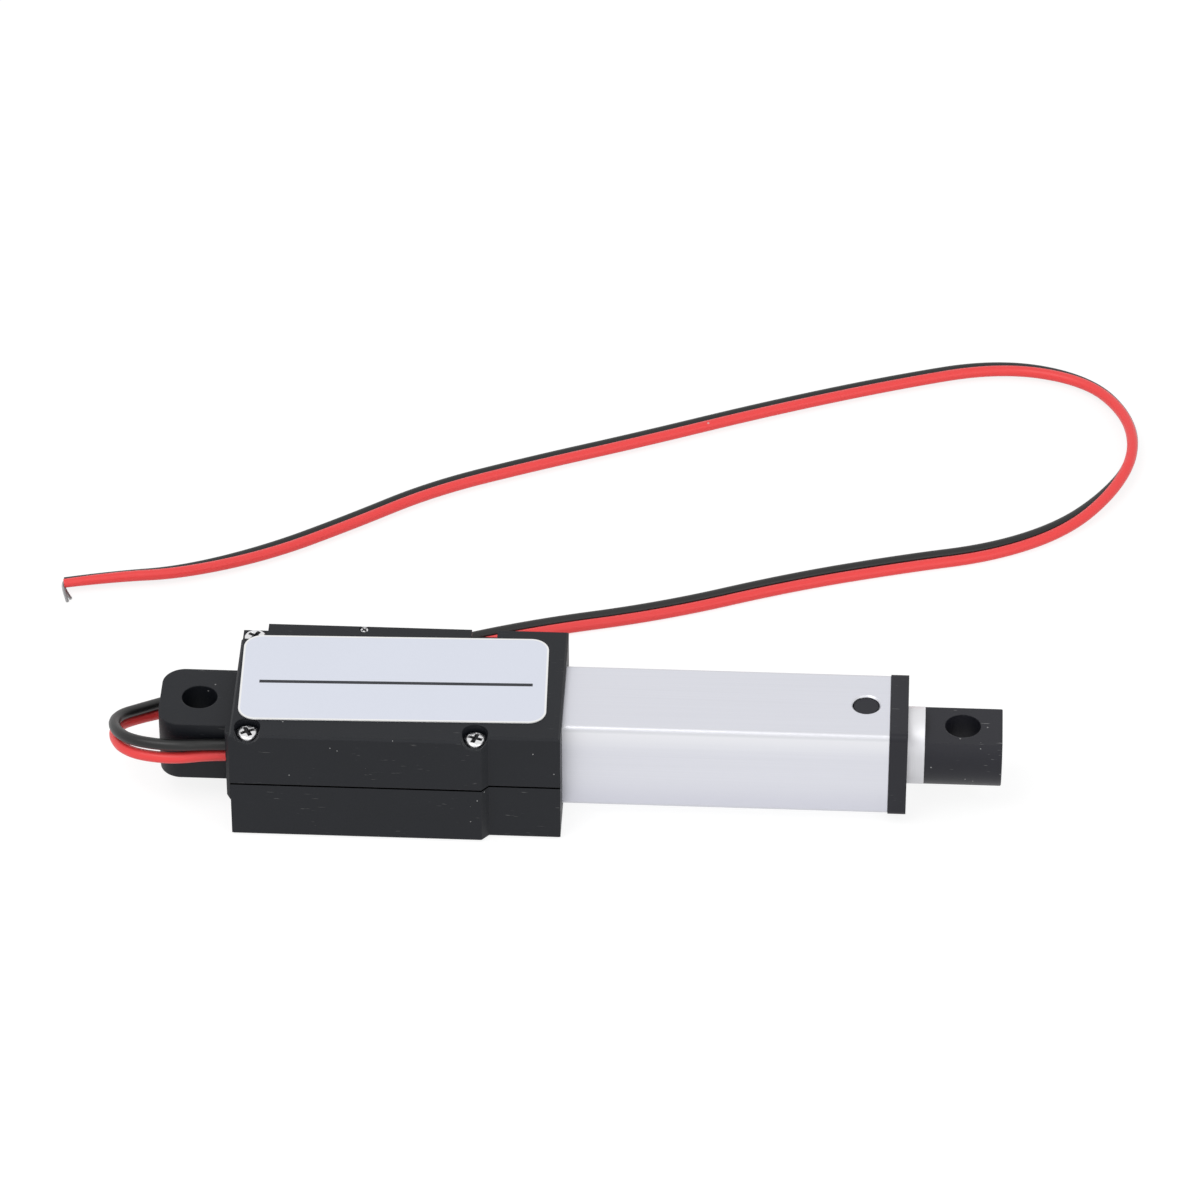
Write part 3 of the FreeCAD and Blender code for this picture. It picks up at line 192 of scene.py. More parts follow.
def routePoints(name, route, steps):
    # the centre line itself, read from an unbevelled curve
    guide = bpy.data.objects.new(name, routeCurve(name, route, steps))
    line = bpy.data.meshes.new_from_object(guide)
    points = np.empty(len(line.vertices) * 3)
    line.vertices.foreach_get("co", points)
    bpy.data.objects.remove(guide)
    bpy.data.meshes.remove(line)
    return points.reshape(-1, 3)


# bare ends: seven tinned strands in a twist, the outer six round the middle one
strandTwist = {
    "strandDiameter": 0.125,
    "outer": 6,
    "circle": 0.125,      # radius of the outer strands' centres, mm
    "pitch": 2.6,         # mm for one turn
    "splay": 0.1,         # how far the outer strands spread at the tip
    "splayPower": 3,      # how late they spread
    "sides": 10,
    "steps": 24,
    "sharpAngle": 50,
}
redStrandRoute = [(-19, 31.6, -5.75), (-19.2, 31.3, -5.9), (-18.4, 29.6, -6.85)]
blackStrandRoute = [(-19.1, 32.8, -6.45), (-19.4, 32.3, -6.65), (-18.1, 30.2, -6.85)]


def makeStrands(name, route):
    # outer strand k stands at angle 2 pi (s / pitch + k / outer) round the centre line at arc length s
    look = strandTwist
    line = routePoints(name + "Guide", route, look["steps"])
    step = np.gradient(line, axis=0)
    along = step / np.linalg.norm(step, axis=1, keepdims=True)
    across = np.cross(along, (0.0, 0.0, 1.0))
    across /= np.linalg.norm(across, axis=1, keepdims=True)
    upward = np.cross(along, across)
    length = np.concatenate([[0], np.cumsum(np.linalg.norm(np.diff(line, axis=0), axis=1))])
    share = length / length[-1]
    turn = np.arange(look["sides"]) * math.tau / look["sides"]
    ring = np.cos(turn)[None, :, None] * across[:, None] + np.sin(turn)[None, :, None] * upward[:, None]
    parts = [line[:, None] + ring * look["strandDiameter"] / 2 * mm]
    for strand in range(look["outer"]):
        reach = look["circle"] * mm * (1 + look["splay"] * share ** look["splayPower"])
        angle = math.tau * (length / (look["pitch"] * mm) + strand / look["outer"])
        offset = (reach * np.cos(angle))[:, None] * across + (reach * np.sin(angle))[:, None] * upward
        parts.append(parts[0] + offset[:, None])
    piece = sweptMesh(name, parts)
    smoothByAngle(piece, look["sharpAngle"])
    return piece


redStrands = makeStrands("redStrands", redStrandRoute)
blackStrands = makeStrands("blackStrands", blackStrandRoute)
for lead, strands, node, bare, route, length in (
        (redLead, redStrands, "red_wire", "red_wire_strands", redRoute, leads["redLength"]),
        (blackLead, blackStrands, "black_wire", "black_wire_strands", blackRoute, leads["blackLength"])):
    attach(lead, "frame")
    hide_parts(node)
    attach(strands, "frame")
    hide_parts(bare)
print("bare ends twisted")

# cross-recess screws that close the housing
shellScrew = {
    "headDiameter": 2.4,
    "headHeight": 0.53,
    "sink": 0.12,          # how far the head stays under the plain CAD one, mm
    "dome": 0.45,          # how much lower the rim is than the middle, as a share of the height
    "domePower": 8,        # how late the dome falls
    "shankDiameter": 1.54,
    "length": 10.3,
    "tip": 0.35,           # share of the radius that is left at the point
    "tipLength": 1.2,
    "recessReach": 0.78,   # from the middle to the end of an arm, mm
    "recessWidth": 0.36,
    "recessDepth": 0.5,
    "recessRise": 0.45,    # how much the recess floor rises towards the arms' ends
    "blend": 0.06,         # width of the recess walls
    "threadPitch": 0.6,
    "threadDepth": 0.14,
    "threadFrom": (0.5, 1.0),  # under the head, where the thread starts and where it is full, mm
    "sides": 96,
    "topRings": 44,
    "firstRing": 0.015,    # share of the rim's radius
    "threadRings": 110,
    "turns": (28, 62, 71, 15),  # degrees that each cross is turned
    "sharpAngle": 40,
}


def screwRings(look, turned):
    # head: z = height (1 - dome (r / R)^power), sunk by a cross whose floor rises towards its ends
    # shank: r = R - depth |2 frac(z / pitch + angle / 2 pi) - 1|, a ridge that climbs one pitch a turn
    angle = np.arange(look["sides"]) * math.tau / look["sides"]
    rim = look["headDiameter"] / 2
    reach = np.linspace(look["firstRing"], 1, look["topRings"])[:, None] * rim
    x = reach * np.cos(angle)
    y = -reach * np.sin(angle)
    spin = math.radians(turned)
    u = np.abs(x * math.cos(spin) + y * math.sin(spin))
    v = np.abs(y * math.cos(spin) - x * math.sin(spin))
    soft = look["blend"]
    half = look["recessWidth"] / 2
    far = look["recessReach"]

    def arm(side, end):
        return smoothStep(half + soft, half, side) * smoothStep(far + soft, far, end)

    cross = np.maximum(arm(u, v), arm(v, u))
    floor = look["recessDepth"] * (1 - look["recessRise"] * reach / far)
    dome = look["headHeight"] * (1 - look["dome"] * (reach / rim) ** look["domePower"])
    top = np.stack([x, y, dome - cross * np.maximum(floor, 0)], axis=-1)
    down = np.linspace(0, 1, look["threadRings"])[:, None] * look["length"]
    phase = down / look["threadPitch"] + angle / math.tau
    ridge = np.abs(2 * (phase - np.floor(phase)) - 1)
    taper = smoothStep(0, look["tipLength"], look["length"] - down)
    cut = look["threadDepth"] * ridge * smoothStep(*look["threadFrom"], down)
    radius = (look["shankDiameter"] / 2 - cut) * (look["tip"] + (1 - look["tip"]) * taper)
    depth = np.broadcast_to(-down, radius.shape)
    shank = np.stack([radius * np.cos(angle), -radius * np.sin(angle), depth], axis=-1)
    skirt = np.stack([rim * np.cos(angle), -rim * np.sin(angle), np.zeros_like(angle)], axis=-1)[None]
    mark = np.concatenate([cross, np.zeros((1 + len(shank), look["sides"]))])
    return np.concatenate([top, skirt, shank]) * mm, mark


def seatPlaces(node):
    # the screws stand apart on the housing's corners, so each quarter of the node holds one
    co = np.empty(len(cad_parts[node].data.vertices) * 3)
    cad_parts[node].data.vertices.foreach_get("co", co)
    co = co.reshape(-1, 3)
    middle = (co.min(axis=0) + co.max(axis=0)) / 2
    quarter = (co[:, 0] > middle[0]) * 2 + (co[:, 1] > middle[1])
    return np.array([(co[quarter == q].min(axis=0) + co[quarter == q].max(axis=0)) / 2 for q in range(4)])


def seatScrews(name, node, look, seats):
    shapes = [screwRings(look, turned) for turned in look["turns"]]
    parts = [rings + seat for (rings, mark), seat in zip(shapes, seats)]
    piece = sweptMesh(name, parts, [mark for rings, mark in shapes])
    smoothByAngle(piece, look["sharpAngle"])
    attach(piece, "frame")
    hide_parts(node)
    return piece


def makeShellScrews(look):
    seats = seatPlaces("housing_screws")
    seats[:, 2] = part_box("housing_screws")[1].z - (look["headHeight"] + look["sink"]) * mm
    return seatScrews("housingScrews", "housing_screws", look, seats)


# tiny cross-recess screw in the back edge of the upper shell
edgeScrew = {**shellScrew, "headDiameter": 1.1, "headHeight": 0.4, "dome": 0.7, "shankDiameter": 1.0,
             "length": 0.6, "recessReach": 0.36, "recessWidth": 0.16, "recessDepth": 0.18,
             "blend": 0.04, "threadPitch": 0.25, "threadDepth": 0.05, "sides": 64, "topRings": 24,
             "threadRings": 24, "turns": (40,)}


def makeEdgeScrew(look):
    low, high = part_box("edge_screw")
    seat = np.array(((low.x + high.x) / 2, (low.y + high.y) / 2, high.z - look["headHeight"] * mm))
    return seatScrews("edgeScrew", "edge_screw", look, [seat])


# the thread that drives the nut
leadScrew = {
    "steps": ((24.8, 0.45), (28.0, 1.0), (30.5, 1.5), (32.7, 2.0)),  # start and radius of each step, mm
    "end": 71.2,
    "lead": 2.0,
    "depth": 0.45,
    "crest": 0.3,          # share of the lead that stays at full radius
    "flank": 0.2,          # share of the lead that each flank takes
    "runOut": (0.2, 1.0),  # from the thread's ends, where the groove starts and where it is full, mm
    "sides": 48,
    "ringGap": 0.1,
    "sharpAngle": 35,
}


def makeLeadScrew(look):
    # r = R - depth clip((|2 frac(x / lead - angle / 2 pi) - 1| - crest) / (2 flank)), a right-hand groove
    angle = np.arange(look["sides"]) * math.tau / look["sides"]
    starts, radii = np.array(look["steps"]).T
    thread = np.arange(starts[-1], look["end"], look["ringGap"])
    x = np.concatenate([starts[:1], np.repeat(starts[1:], 2)[:-1], thread, [look["end"]]])
    radius = np.concatenate([np.repeat(radii[:-1], 2), np.full(len(thread) + 1, radii[-1])])
    turn = x[:, None] / look["lead"] - angle / math.tau
    wave = np.abs(2 * (turn - np.floor(turn)) - 1)
    groove = np.clip((wave - look["crest"]) / (2 * look["flank"]), 0, 1)
    inside = smoothStep(*look["runOut"], x - starts[-1]) * smoothStep(*look["runOut"], look["end"] - x)
    reach = radius[:, None] - look["depth"] * groove * inside[:, None]
    across = np.broadcast_to(x[:, None], reach.shape)
    rings = np.stack([across, reach * np.cos(angle), reach * np.sin(angle)], axis=-1) * mm
    piece = sweptMesh("threadedScrew", [rings])
    smoothByAngle(piece, look["sharpAngle"])
    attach(piece, "screw")
    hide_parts("lead_screw")
    return piece


housingScrews = makeShellScrews(shellScrew)
backEdgeScrew = makeEdgeScrew(edgeScrew)
threadedScrew = makeLeadScrew(leadScrew)
print("screws cut")


# shader helpers
def addNode(tree, kind, wires=None, **settings):
    node = tree.nodes.new(kind)
    for key, value in settings.items():
        setattr(node, key, value)
    for key, value in (wires or {}).items():
        if isinstance(value, bpy.types.NodeSocket):
            tree.links.new(value, node.inputs[key])
        else:
            node.inputs[key].default_value = value
    return node


def maths(tree, operation, *values):
    return addNode(tree, "ShaderNodeMath", dict(enumerate(values)), operation=operation).outputs[0]


def mixColour(tree, mask, under, over):
    node = addNode(tree, "ShaderNodeMix", {0: mask, 6: under, 7: over}, data_type="RGBA")
    return node.outputs[2]


def spread(tree, value, low, high):
    # a value from 0 to 1 becomes one from low to high
    wires = {"Value": value, "To Min": low, "To Max": high}
    return addNode(tree, "ShaderNodeMapRange", wires).outputs[0]


def ramp(tree, value, limits, kind="LINEAR"):
    # 0 at the first limit, 1 at the second
    wires = {"Value": value, "From Min": limits[0], "From Max": limits[1]}
    return addNode(tree, "ShaderNodeMapRange", wires, interpolation_type=kind).outputs[0]


def cloudNoise(tree, place, scale, detail, roughness=0.5):
    wires = {"Vector": place, "Scale": scale, "Detail": detail, "Roughness": roughness}
    return addNode(tree, "ShaderNodeTexNoise", wires).outputs[0]


def newGroup(name, inputs, outputs):
    tree = bpy.data.node_groups.new(name, "ShaderNodeTree")
    for label, kind in inputs.items():
        tree.interface.new_socket(label, in_out="INPUT", socket_type="NodeSocket" + kind)
    for label, kind in outputs.items():
        tree.interface.new_socket(label, in_out="OUTPUT", socket_type="NodeSocket" + kind)
    return tree, tree.nodes.new("NodeGroupInput").outputs, tree.nodes.new("NodeGroupOutput").inputs


def useGroup(tree, group, **wires):
    return addNode(tree, "ShaderNodeGroup", wires, node_tree=group).outputs


mouldField = {"detail": 3.0, "roughness": 0.6,
              "cloudScale": 0.04}  # as a share of the grain's own scale


def buildMouldGrain(look):
    # the fine sparkle of a moulded surface, and slow clouds for its colour
    tree, given, made = newGroup("mouldGrain", {"Vector": "Vector", "Scale": "Float"},
                                 {"Height": "Float", "Cloud": "Float"})
    fine = cloudNoise(tree, given["Vector"], given["Scale"], look["detail"], look["roughness"])
    coarse = maths(tree, "MULTIPLY", given["Scale"], look["cloudScale"])
    slow = cloudNoise(tree, given["Vector"], coarse, look["detail"])
    tree.links.new(fine, made["Height"])
    tree.links.new(slow, made["Cloud"])
    return tree


rimField = {"samples": 6, "detail": 4.0,
            "leaves": (0.97, 0.8),   # cosine between the two normals
            "patch": (0.38, 0.62)}   # noise limits of the worn places


def buildRimWear(look):
    # the edges: where a rounded normal leaves the face's own, broken up by noise
    tree, given, made = newGroup("rimWear", {"Vector": "Vector", "Radius": "Float", "Breakup": "Float"},
                                 {"Mask": "Float", "Normal": "Vector"})
    eased = addNode(tree, "ShaderNodeBevel", {"Radius": given["Radius"]},
                    samples=look["samples"]).outputs[0]
    flat = addNode(tree, "ShaderNodeNewGeometry").outputs["Normal"]
    agree = addNode(tree, "ShaderNodeVectorMath", {0: eased, 1: flat}, operation="DOT_PRODUCT")
    edge = ramp(tree, agree.outputs["Value"], look["leaves"])
    patch = ramp(tree, cloudNoise(tree, given["Vector"], given["Breakup"], look["detail"]), look["patch"])
    tree.links.new(maths(tree, "MULTIPLY", edge, patch), made["Mask"])
    tree.links.new(eased, made["Normal"])
    return tree


def buildDustSpecks():
    # a few cells of a Voronoi field hold a small pale speck
    tree, given, made = newGroup("dustSpecks", {"Vector": "Vector", "Scale": "Float", "Size": "Float",
                                                "Share": "Float"}, {"Mask": "Float"})
    cells = addNode(tree, "ShaderNodeTexVoronoi", {"Vector": given["Vector"], "Scale": given["Scale"]})
    near = maths(tree, "LESS_THAN", cells.outputs["Distance"], given["Size"])
    picked = addNode(tree, "ShaderNodeSeparateColor", {"Color": cells.outputs["Color"]})
    chosen = maths(tree, "LESS_THAN", picked.outputs[0], given["Share"])
    tree.links.new(maths(tree, "MULTIPLY", near, chosen), made["Mask"])
    return tree


lineField = {"detail": 4.0, "roughness": 0.65}


def buildDrawnLines(look):
    # noise pulled out along one direction: extrusion and grinding lines
    tree, given, made = newGroup("drawnLines", {"Vector": "Vector", "Stretch": "Vector"},
                                 {"Tone": "Float"})
    pulled = addNode(tree, "ShaderNodeVectorMath", {0: given["Vector"], 1: given["Stretch"]},
                     operation="MULTIPLY").outputs[0]
    tree.links.new(cloudNoise(tree, pulled, 1.0, look["detail"], look["roughness"]), made["Tone"])
    return tree


scuffField = {"slant": (0.5, 0.3, 0.6), "stretch": (600.0, 5200.0, 5200.0), "detail": 2.0,
              "line": (0.68, 0.74),    # noise limits of a scratch
              "patchScale": 260.0,
              "patch": (0.52, 0.6)}    # noise limits of the scratched places


def buildScuffMarks(look):
    # short pale scratches: the peaks of a noise pulled out on a slant, kept where a slow noise is high
    tree, given, made = newGroup("scuffMarks", {"Vector": "Vector"}, {"Mask": "Float"})
    slanted = addNode(tree, "ShaderNodeMapping", {"Vector": given["Vector"], "Rotation": look["slant"],
                                                  "Scale": look["stretch"]}).outputs[0]
    line = ramp(tree, cloudNoise(tree, slanted, 1.0, look["detail"]), look["line"])
    slow = cloudNoise(tree, given["Vector"], look["patchScale"], look["detail"])
    patch = ramp(tree, slow, look["patch"])
    tree.links.new(maths(tree, "MULTIPLY", line, patch), made["Mask"])
    return tree


mouldGrain = buildMouldGrain(mouldField)
rimWear = buildRimWear(rimField)
dustSpecks = buildDustSpecks()
drawnLines = buildDrawnLines(lineField)
scuffMarks = buildScuffMarks(scuffField)


def newMaterial(name, **plain):
    material = bpy.data.materials.new(name)
    material.use_nodes = True
    tree = material.node_tree
    skin = tree.nodes["Principled BSDF"]
    for key, value in plain.items():
        skin.inputs[key.replace("_", " ")].default_value = value
    place = tree.nodes.new("ShaderNodeTexCoord").outputs["Object"]
    return material, tree, skin.inputs, place


def addRelief(tree, skin, height, strength, depth, under=None):
    # a bump of that depth in mm, over the rounded normal where there is one
    wires = {"Height": height, "Strength": strength, "Distance": depth * mm}
    if under is not None:
        wires["Normal"] = under
    tree.links.new(addNode(tree, "ShaderNodeBump", wires).outputs[0], skin["Normal"])


def grey(level):
    return (level, level, level, 1)


# black moulded plastic, one set of values for each piece that shows its own wear
housingPlastic = {
    "dark": (0.0054, 0.0066, 0.0096, 1),
    "light": (0.0086, 0.0102, 0.0144, 1),
    "edge": (0.045, 0.046, 0.052, 1),
    "ease": 0.12,          # radius of the rounded normals, mm
    "wear": 0.55,          # how much of the edge colour shows
    "breakup": 900.0,
    "dust": (0.3, 0.3, 0.3, 1),
    "dustShare": 0.02,
    "speckScale": 1300.0,
    "speckSize": 0.11,
    "scuff": 0.25,
    "grain": 5200.0,
    "bump": 0.22,
    "bumpDepth": 0.04,     # mm
    "smooth": 0.42,        # least and most roughness
    "rough": 0.58,
    "gloss": 0.28,
    "seam": (0.07, 0.29),  # heights of the shells' seam groove, where painted shade is laid, mm
    "gap": grey(0.001),
}
mountPlastic = {**housingPlastic, "dustShare": 0.03, "bump": 0.3, "grain": 4200.0, "ease": 0.2,
                "seam": None}
capPlastic = {**housingPlastic, "dark": (0.0092, 0.0094, 0.0146, 1), "light": (0.0143, 0.0146, 0.0212, 1),
              "dustShare": 0.015, "smooth": 0.38, "rough": 0.52, "ease": 0.15, "gloss": 0.32,
              "seam": None}
rodEndPlastic = {**capPlastic, "dustShare": 0.13, "wear": 0.9, "bump": 0.3, "scuff": 0.9}
switchPlastic = {**capPlastic, "dustShare": 0.0, "scuff": 0.0, "smooth": 0.3, "rough": 0.4, "ease": 0.06}
nutPlastic = {**capPlastic, "dark": (0.70, 0.69, 0.63, 1), "light": (0.80, 0.79, 0.73, 1),
              "edge": (0.9, 0.9, 0.86, 1), "wear": 0.3, "dust": (0.35, 0.33, 0.3, 1), "dustShare": 0.01,
              "scuff": 0.0, "grain": 3000.0, "bump": 0.08, "smooth": 0.3, "rough": 0.4, "gloss": 0.4}


def mouldedPlastic(name, look):
    material, tree, skin, place = newMaterial(name, Specular_IOR_Level=look["gloss"])
    grain = useGroup(tree, mouldGrain, Vector=place, Scale=look["grain"])
    wear = useGroup(tree, rimWear, Vector=place, Radius=look["ease"] * mm, Breakup=look["breakup"])
    dust = useGroup(tree, dustSpecks, Vector=place, Scale=look["speckScale"], Size=look["speckSize"],
                    Share=look["dustShare"])
    rubbed = useGroup(tree, scuffMarks, Vector=place)
    shown = mixColour(tree, grain["Cloud"], look["dark"], look["light"])
    shown = mixColour(tree, maths(tree, "MULTIPLY", wear["Mask"], look["wear"]), shown, look["edge"])
    shown = mixColour(tree, maths(tree, "MULTIPLY", rubbed["Mask"], look["scuff"]), shown, look["dust"])
    shown = mixColour(tree, dust["Mask"], shown, look["dust"])
    # painted shade over the seam groove between the shells
    if look["seam"]:
        height = addNode(tree, "ShaderNodeSeparateXYZ", {0: place}).outputs[2]
        above = maths(tree, "GREATER_THAN", height, look["seam"][0] * mm)
        gap = maths(tree, "MULTIPLY", above, maths(tree, "LESS_THAN", height, look["seam"][1] * mm))
        shown = mixColour(tree, gap, shown, look["gap"])
        tree.links.new(gap, skin["Metallic"])  # painted shade: black metal gives back no reflection, so the groove looks as dark as a deep shaded gap
    tree.links.new(shown, skin["Base Color"])
    tree.links.new(spread(tree, grain["Height"], look["smooth"], look["rough"]), skin["Roughness"])
    addRelief(tree, skin, grain["Height"], look["bump"], look["bumpDepth"], wear["Normal"])
    return material


# drawn, ground and plated metal
metalWork = {"breakup": 700.0, "bumpDepth": 0.03}  # the same on every metal; depth in mm
tubeMetal = {"dark": (0.655, 0.662, 0.715, 1), "light": (0.73, 0.737, 0.79, 1),
             "edge": (0.76, 0.765, 0.80, 1), "stretch": (25.0, 5200.0, 5200.0), "smooth": 0.34,
             "rough": 0.46, "bump": 0.05, "ease": 0.14,
             "paintedLight": (0.79, 0.795, 0.83, 1), "paintedLightFrom": (1.9, 5.0),   # painted highlight high on the side walls; heights, mm
             # painted shade low on the side walls
             "paintedShade": (0.62, 0.625, 0.69, 1), "paintedShadeFrom": (-0.9, -5.2),
             # painted shade on the rounded corners, dimming their highlight
             "corner": (0.61, 0.615, 0.65, 1)}
rodMetal = {"dark": (0.56, 0.56, 0.585, 1), "light": (0.69, 0.69, 0.715, 1), "edge": (0.9, 0.9, 0.9, 1),
            "stretch": (9000.0, 300.0, 300.0), "smooth": 0.38, "rough": 0.48, "bump": 0.03, "ease": 0.08,
            "paintedHighlight": (0.79, 0.79, 0.81, 1), "paintedHighlightFrom": (2.9, 4.1)}   # painted highlight along the rod's upper side; heights, mm
screwMetal = {"dark": (0.46, 0.46, 0.47, 1), "light": (0.72, 0.72, 0.73, 1),
              "edge": (0.86, 0.86, 0.86, 1), "stretch": (2500.0, 2500.0, 2500.0), "smooth": 0.2,
              "rough": 0.36, "bump": 0.06, "ease": 0.04}
headMetal = {**screwMetal, "dark": (0.62, 0.62, 0.63, 1), "light": (0.9, 0.9, 0.91, 1),
             "paintedRecessShade": (0.03, 0.03, 0.032, 1)}  # painted shade down in the cross recess
motorMetal = {"dark": (0.5, 0.5, 0.51, 1), "light": (0.6, 0.6, 0.61, 1), "edge": (0.75, 0.75, 0.76, 1),
              "stretch": (60.0, 3000.0, 3000.0), "smooth": 0.25, "rough": 0.4, "bump": 0.05, "ease": 0.1}
gearMetal = {"dark": (0.62, 0.42, 0.14, 1), "light": (0.8, 0.6, 0.26, 1), "edge": (0.9, 0.74, 0.4, 1),
             "stretch": (3000.0, 900.0, 900.0), "smooth": 0.22, "rough": 0.38, "bump": 0.06, "ease": 0.05}
coilMetal = {"dark": (0.42, 0.14, 0.05, 1), "light": (0.72, 0.32, 0.13, 1), "edge": (0.8, 0.45, 0.2, 1),
             "stretch": (60.0, 7000.0, 7000.0), "smooth": 0.2, "rough": 0.35, "bump": 0.5, "ease": 0.08}
ironMetal = {"dark": (0.07, 0.07, 0.075, 1), "light": (0.15, 0.15, 0.155, 1), "edge": (0.3, 0.3, 0.3, 1),
             "stretch": (5000.0, 400.0, 400.0), "smooth": 0.45, "rough": 0.65, "bump": 0.2, "ease": 0.08}
tinMetal = {"dark": (0.22, 0.22, 0.225, 1), "light": (0.42, 0.42, 0.425, 1), "edge": (0.5, 0.5, 0.5, 1),
            "stretch": (3000.0, 3000.0, 3000.0), "smooth": 0.3, "rough": 0.48, "bump": 0.1, "ease": 0.03}


def heightMask(tree, place, limits):
    # climbs smoothly from 0 to 1 between two heights in mm
    height = addNode(tree, "ShaderNodeSeparateXYZ", {0: place}).outputs[2]
    return ramp(tree, height, [level * mm for level in limits], "SMOOTHSTEP")


def paintedWallLight(tree, place, under, look):
    # painted light and shade: the side walls get a painted highlight towards the top and painted shade
    # towards the floor, the rounded corners get painted shade that dims their highlight, and the faces
    # above and below stay as they are
    facing = addNode(tree, "ShaderNodeNewGeometry").outputs["Normal"]
    facing = addNode(tree, "ShaderNodeSeparateXYZ", {0: facing}).outputs
    side = maths(tree, "ABSOLUTE", facing[1])
    upward = maths(tree, "ABSOLUTE", facing[2])
    # painted highlight high on the side walls and painted shade low on them
    for tone in ("paintedLight", "paintedShade"):
        mask = maths(tree, "MULTIPLY", heightMask(tree, place, look[tone + "From"]), side)
        under = mixColour(tree, mask, under, look[tone])
    slanted = maths(tree, "MULTIPLY", maths(tree, "MULTIPLY", side, upward), 2.0)  # 1 at 45 degrees
    # painted shade on the rounded corners, to dim the lamps' highlight there
    return mixColour(tree, slanted, under, look["corner"])


def workedMetal(name, look):
    material, tree, skin, place = newMaterial(name, Metallic=1.0)
    lines = useGroup(tree, drawnLines, Vector=place, Stretch=look["stretch"])
    wear = useGroup(tree, rimWear, Vector=place, Radius=look["ease"] * mm, Breakup=metalWork["breakup"])
    shown = mixColour(tree, lines["Tone"], look["dark"], look["light"])
    # painted highlight and painted shade on the tube's side walls
    if "paintedLight" in look:
        shown = paintedWallLight(tree, place, shown, look)
    # painted highlight along the upper side, by height
    if "paintedHighlight" in look:
        shown = mixColour(tree, heightMask(tree, place, look["paintedHighlightFrom"]), shown, look["paintedHighlight"])
    shown = mixColour(tree, wear["Mask"], shown, look["edge"])
    # painted shade down in the cross recess, where the mark attribute is set
    if "paintedRecessShade" in look:
        mark = addNode(tree, "ShaderNodeAttribute", attribute_name="mark")
        shown = mixColour(tree, mark.outputs["Fac"], shown, look["paintedRecessShade"])
    tree.links.new(shown, skin["Base Color"])
    tree.links.new(spread(tree, lines["Tone"], look["smooth"], look["rough"]), skin["Roughness"])
    addRelief(tree, skin, lines["Tone"], look["bump"], metalWork["bumpDepth"], wear["Normal"])
    return material


# satin label film: a pale rim left by the punch, one printed rule, a faint fibre under the film
labelPrint = {
    "film": (0.82, 0.855, 0.96, 1),
    "filmShade": (0.80, 0.832, 0.935, 1),
    "rim": (1.0, 1.0, 1.0, 1),
    "ink": (0.016, 0.018, 0.026, 1),
    "length": 34.05,              # sizes in mm
    "width": 14.7,
    "turn": 1.4,                  # degrees
    "corner": 2.0,
    "rimWidth": 0.22,
    "ruleWidth": 0.5,
    "ruleEnds": (-14.95, 15.4),   # from the film's middle
    "rulePlace": -0.78,
    "grain": 2600.0,
    "bump": 0.04,
    "bumpDepth": 0.03,
    "smooth": 0.33,
    "rough": 0.43,
    "gloss": 0.4,
}


def labelFilm(name, look):
    # rim: signed distance to a rounded rectangle, |max(q, 0)| + min(max(q), 0) - corner
    material, tree, skin, place = newMaterial(name, Specular_IOR_Level=look["gloss"])
    low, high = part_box("label")
    laid = addNode(tree, "ShaderNodeMapping", {"Vector": place, "Location": (low + high) / 2,
                                               "Rotation": (0, 0, math.radians(look["turn"]))},
                   vector_type="TEXTURE").outputs[0]
    split = addNode(tree, "ShaderNodeSeparateXYZ", {0: laid}).outputs
    inner = [(look[side] / 2 - look["corner"]) * mm for side in ("length", "width")]
    q = [maths(tree, "SUBTRACT", maths(tree, "ABSOLUTE", split[axis]), inner[axis]) for axis in range(2)]
    squares = [maths(tree, "POWER", maths(tree, "MAXIMUM", side, 0.0), 2.0) for side in q]
    outward = maths(tree, "SQRT", maths(tree, "ADD", *squares))
    inward = maths(tree, "MINIMUM", maths(tree, "MAXIMUM", *q), 0.0)
    reach = maths(tree, "ADD", outward, inward)
    rim = maths(tree, "GREATER_THAN", reach, (look["corner"] - look["rimWidth"]) * mm)
    off = maths(tree, "ABSOLUTE", maths(tree, "SUBTRACT", split[1], look["rulePlace"] * mm))
    thin = maths(tree, "LESS_THAN", off, look["ruleWidth"] / 2 * mm)
    begun = maths(tree, "GREATER_THAN", split[0], look["ruleEnds"][0] * mm)
    ended = maths(tree, "LESS_THAN", split[0], look["ruleEnds"][1] * mm)
    rule = maths(tree, "MULTIPLY", thin, maths(tree, "MULTIPLY", begun, ended))
    grain = useGroup(tree, mouldGrain, Vector=place, Scale=look["grain"])
    film = mixColour(tree, grain["Cloud"], look["filmShade"], look["film"])
    edged = mixColour(tree, rim, film, look["rim"])
    tree.links.new(mixColour(tree, rule, edged, look["ink"]), skin["Base Color"])
    tree.links.new(spread(tree, grain["Height"], look["smooth"], look["rough"]), skin["Roughness"])
    addRelief(tree, skin, grain["Height"], look["bump"], look["bumpDepth"])
    return material


# smooth vinyl on the leads: slow changes of colour, faint scuffs in the gloss
leadVinyl = {"grain": 2400.0, "speckScale": 900.0, "speckSize": 0.12, "dustShare": 0.015, "smooth": 0.28,
             "rough": 0.5, "bump": 0.06, "bumpDepth": 0.03, "gloss": 0.45}
redVinyl = {**leadVinyl, "dark": (0.98, 0.056, 0.058, 1), "light": (1.0, 0.078, 0.078, 1),
            "dust": (0.8, 0.4, 0.4, 1)}
blackVinyl = {**leadVinyl, "dark": (0.006, 0.0062, 0.0064, 1), "light": (0.012, 0.0122, 0.0124, 1),
              "dust": (0.3, 0.3, 0.3, 1)}


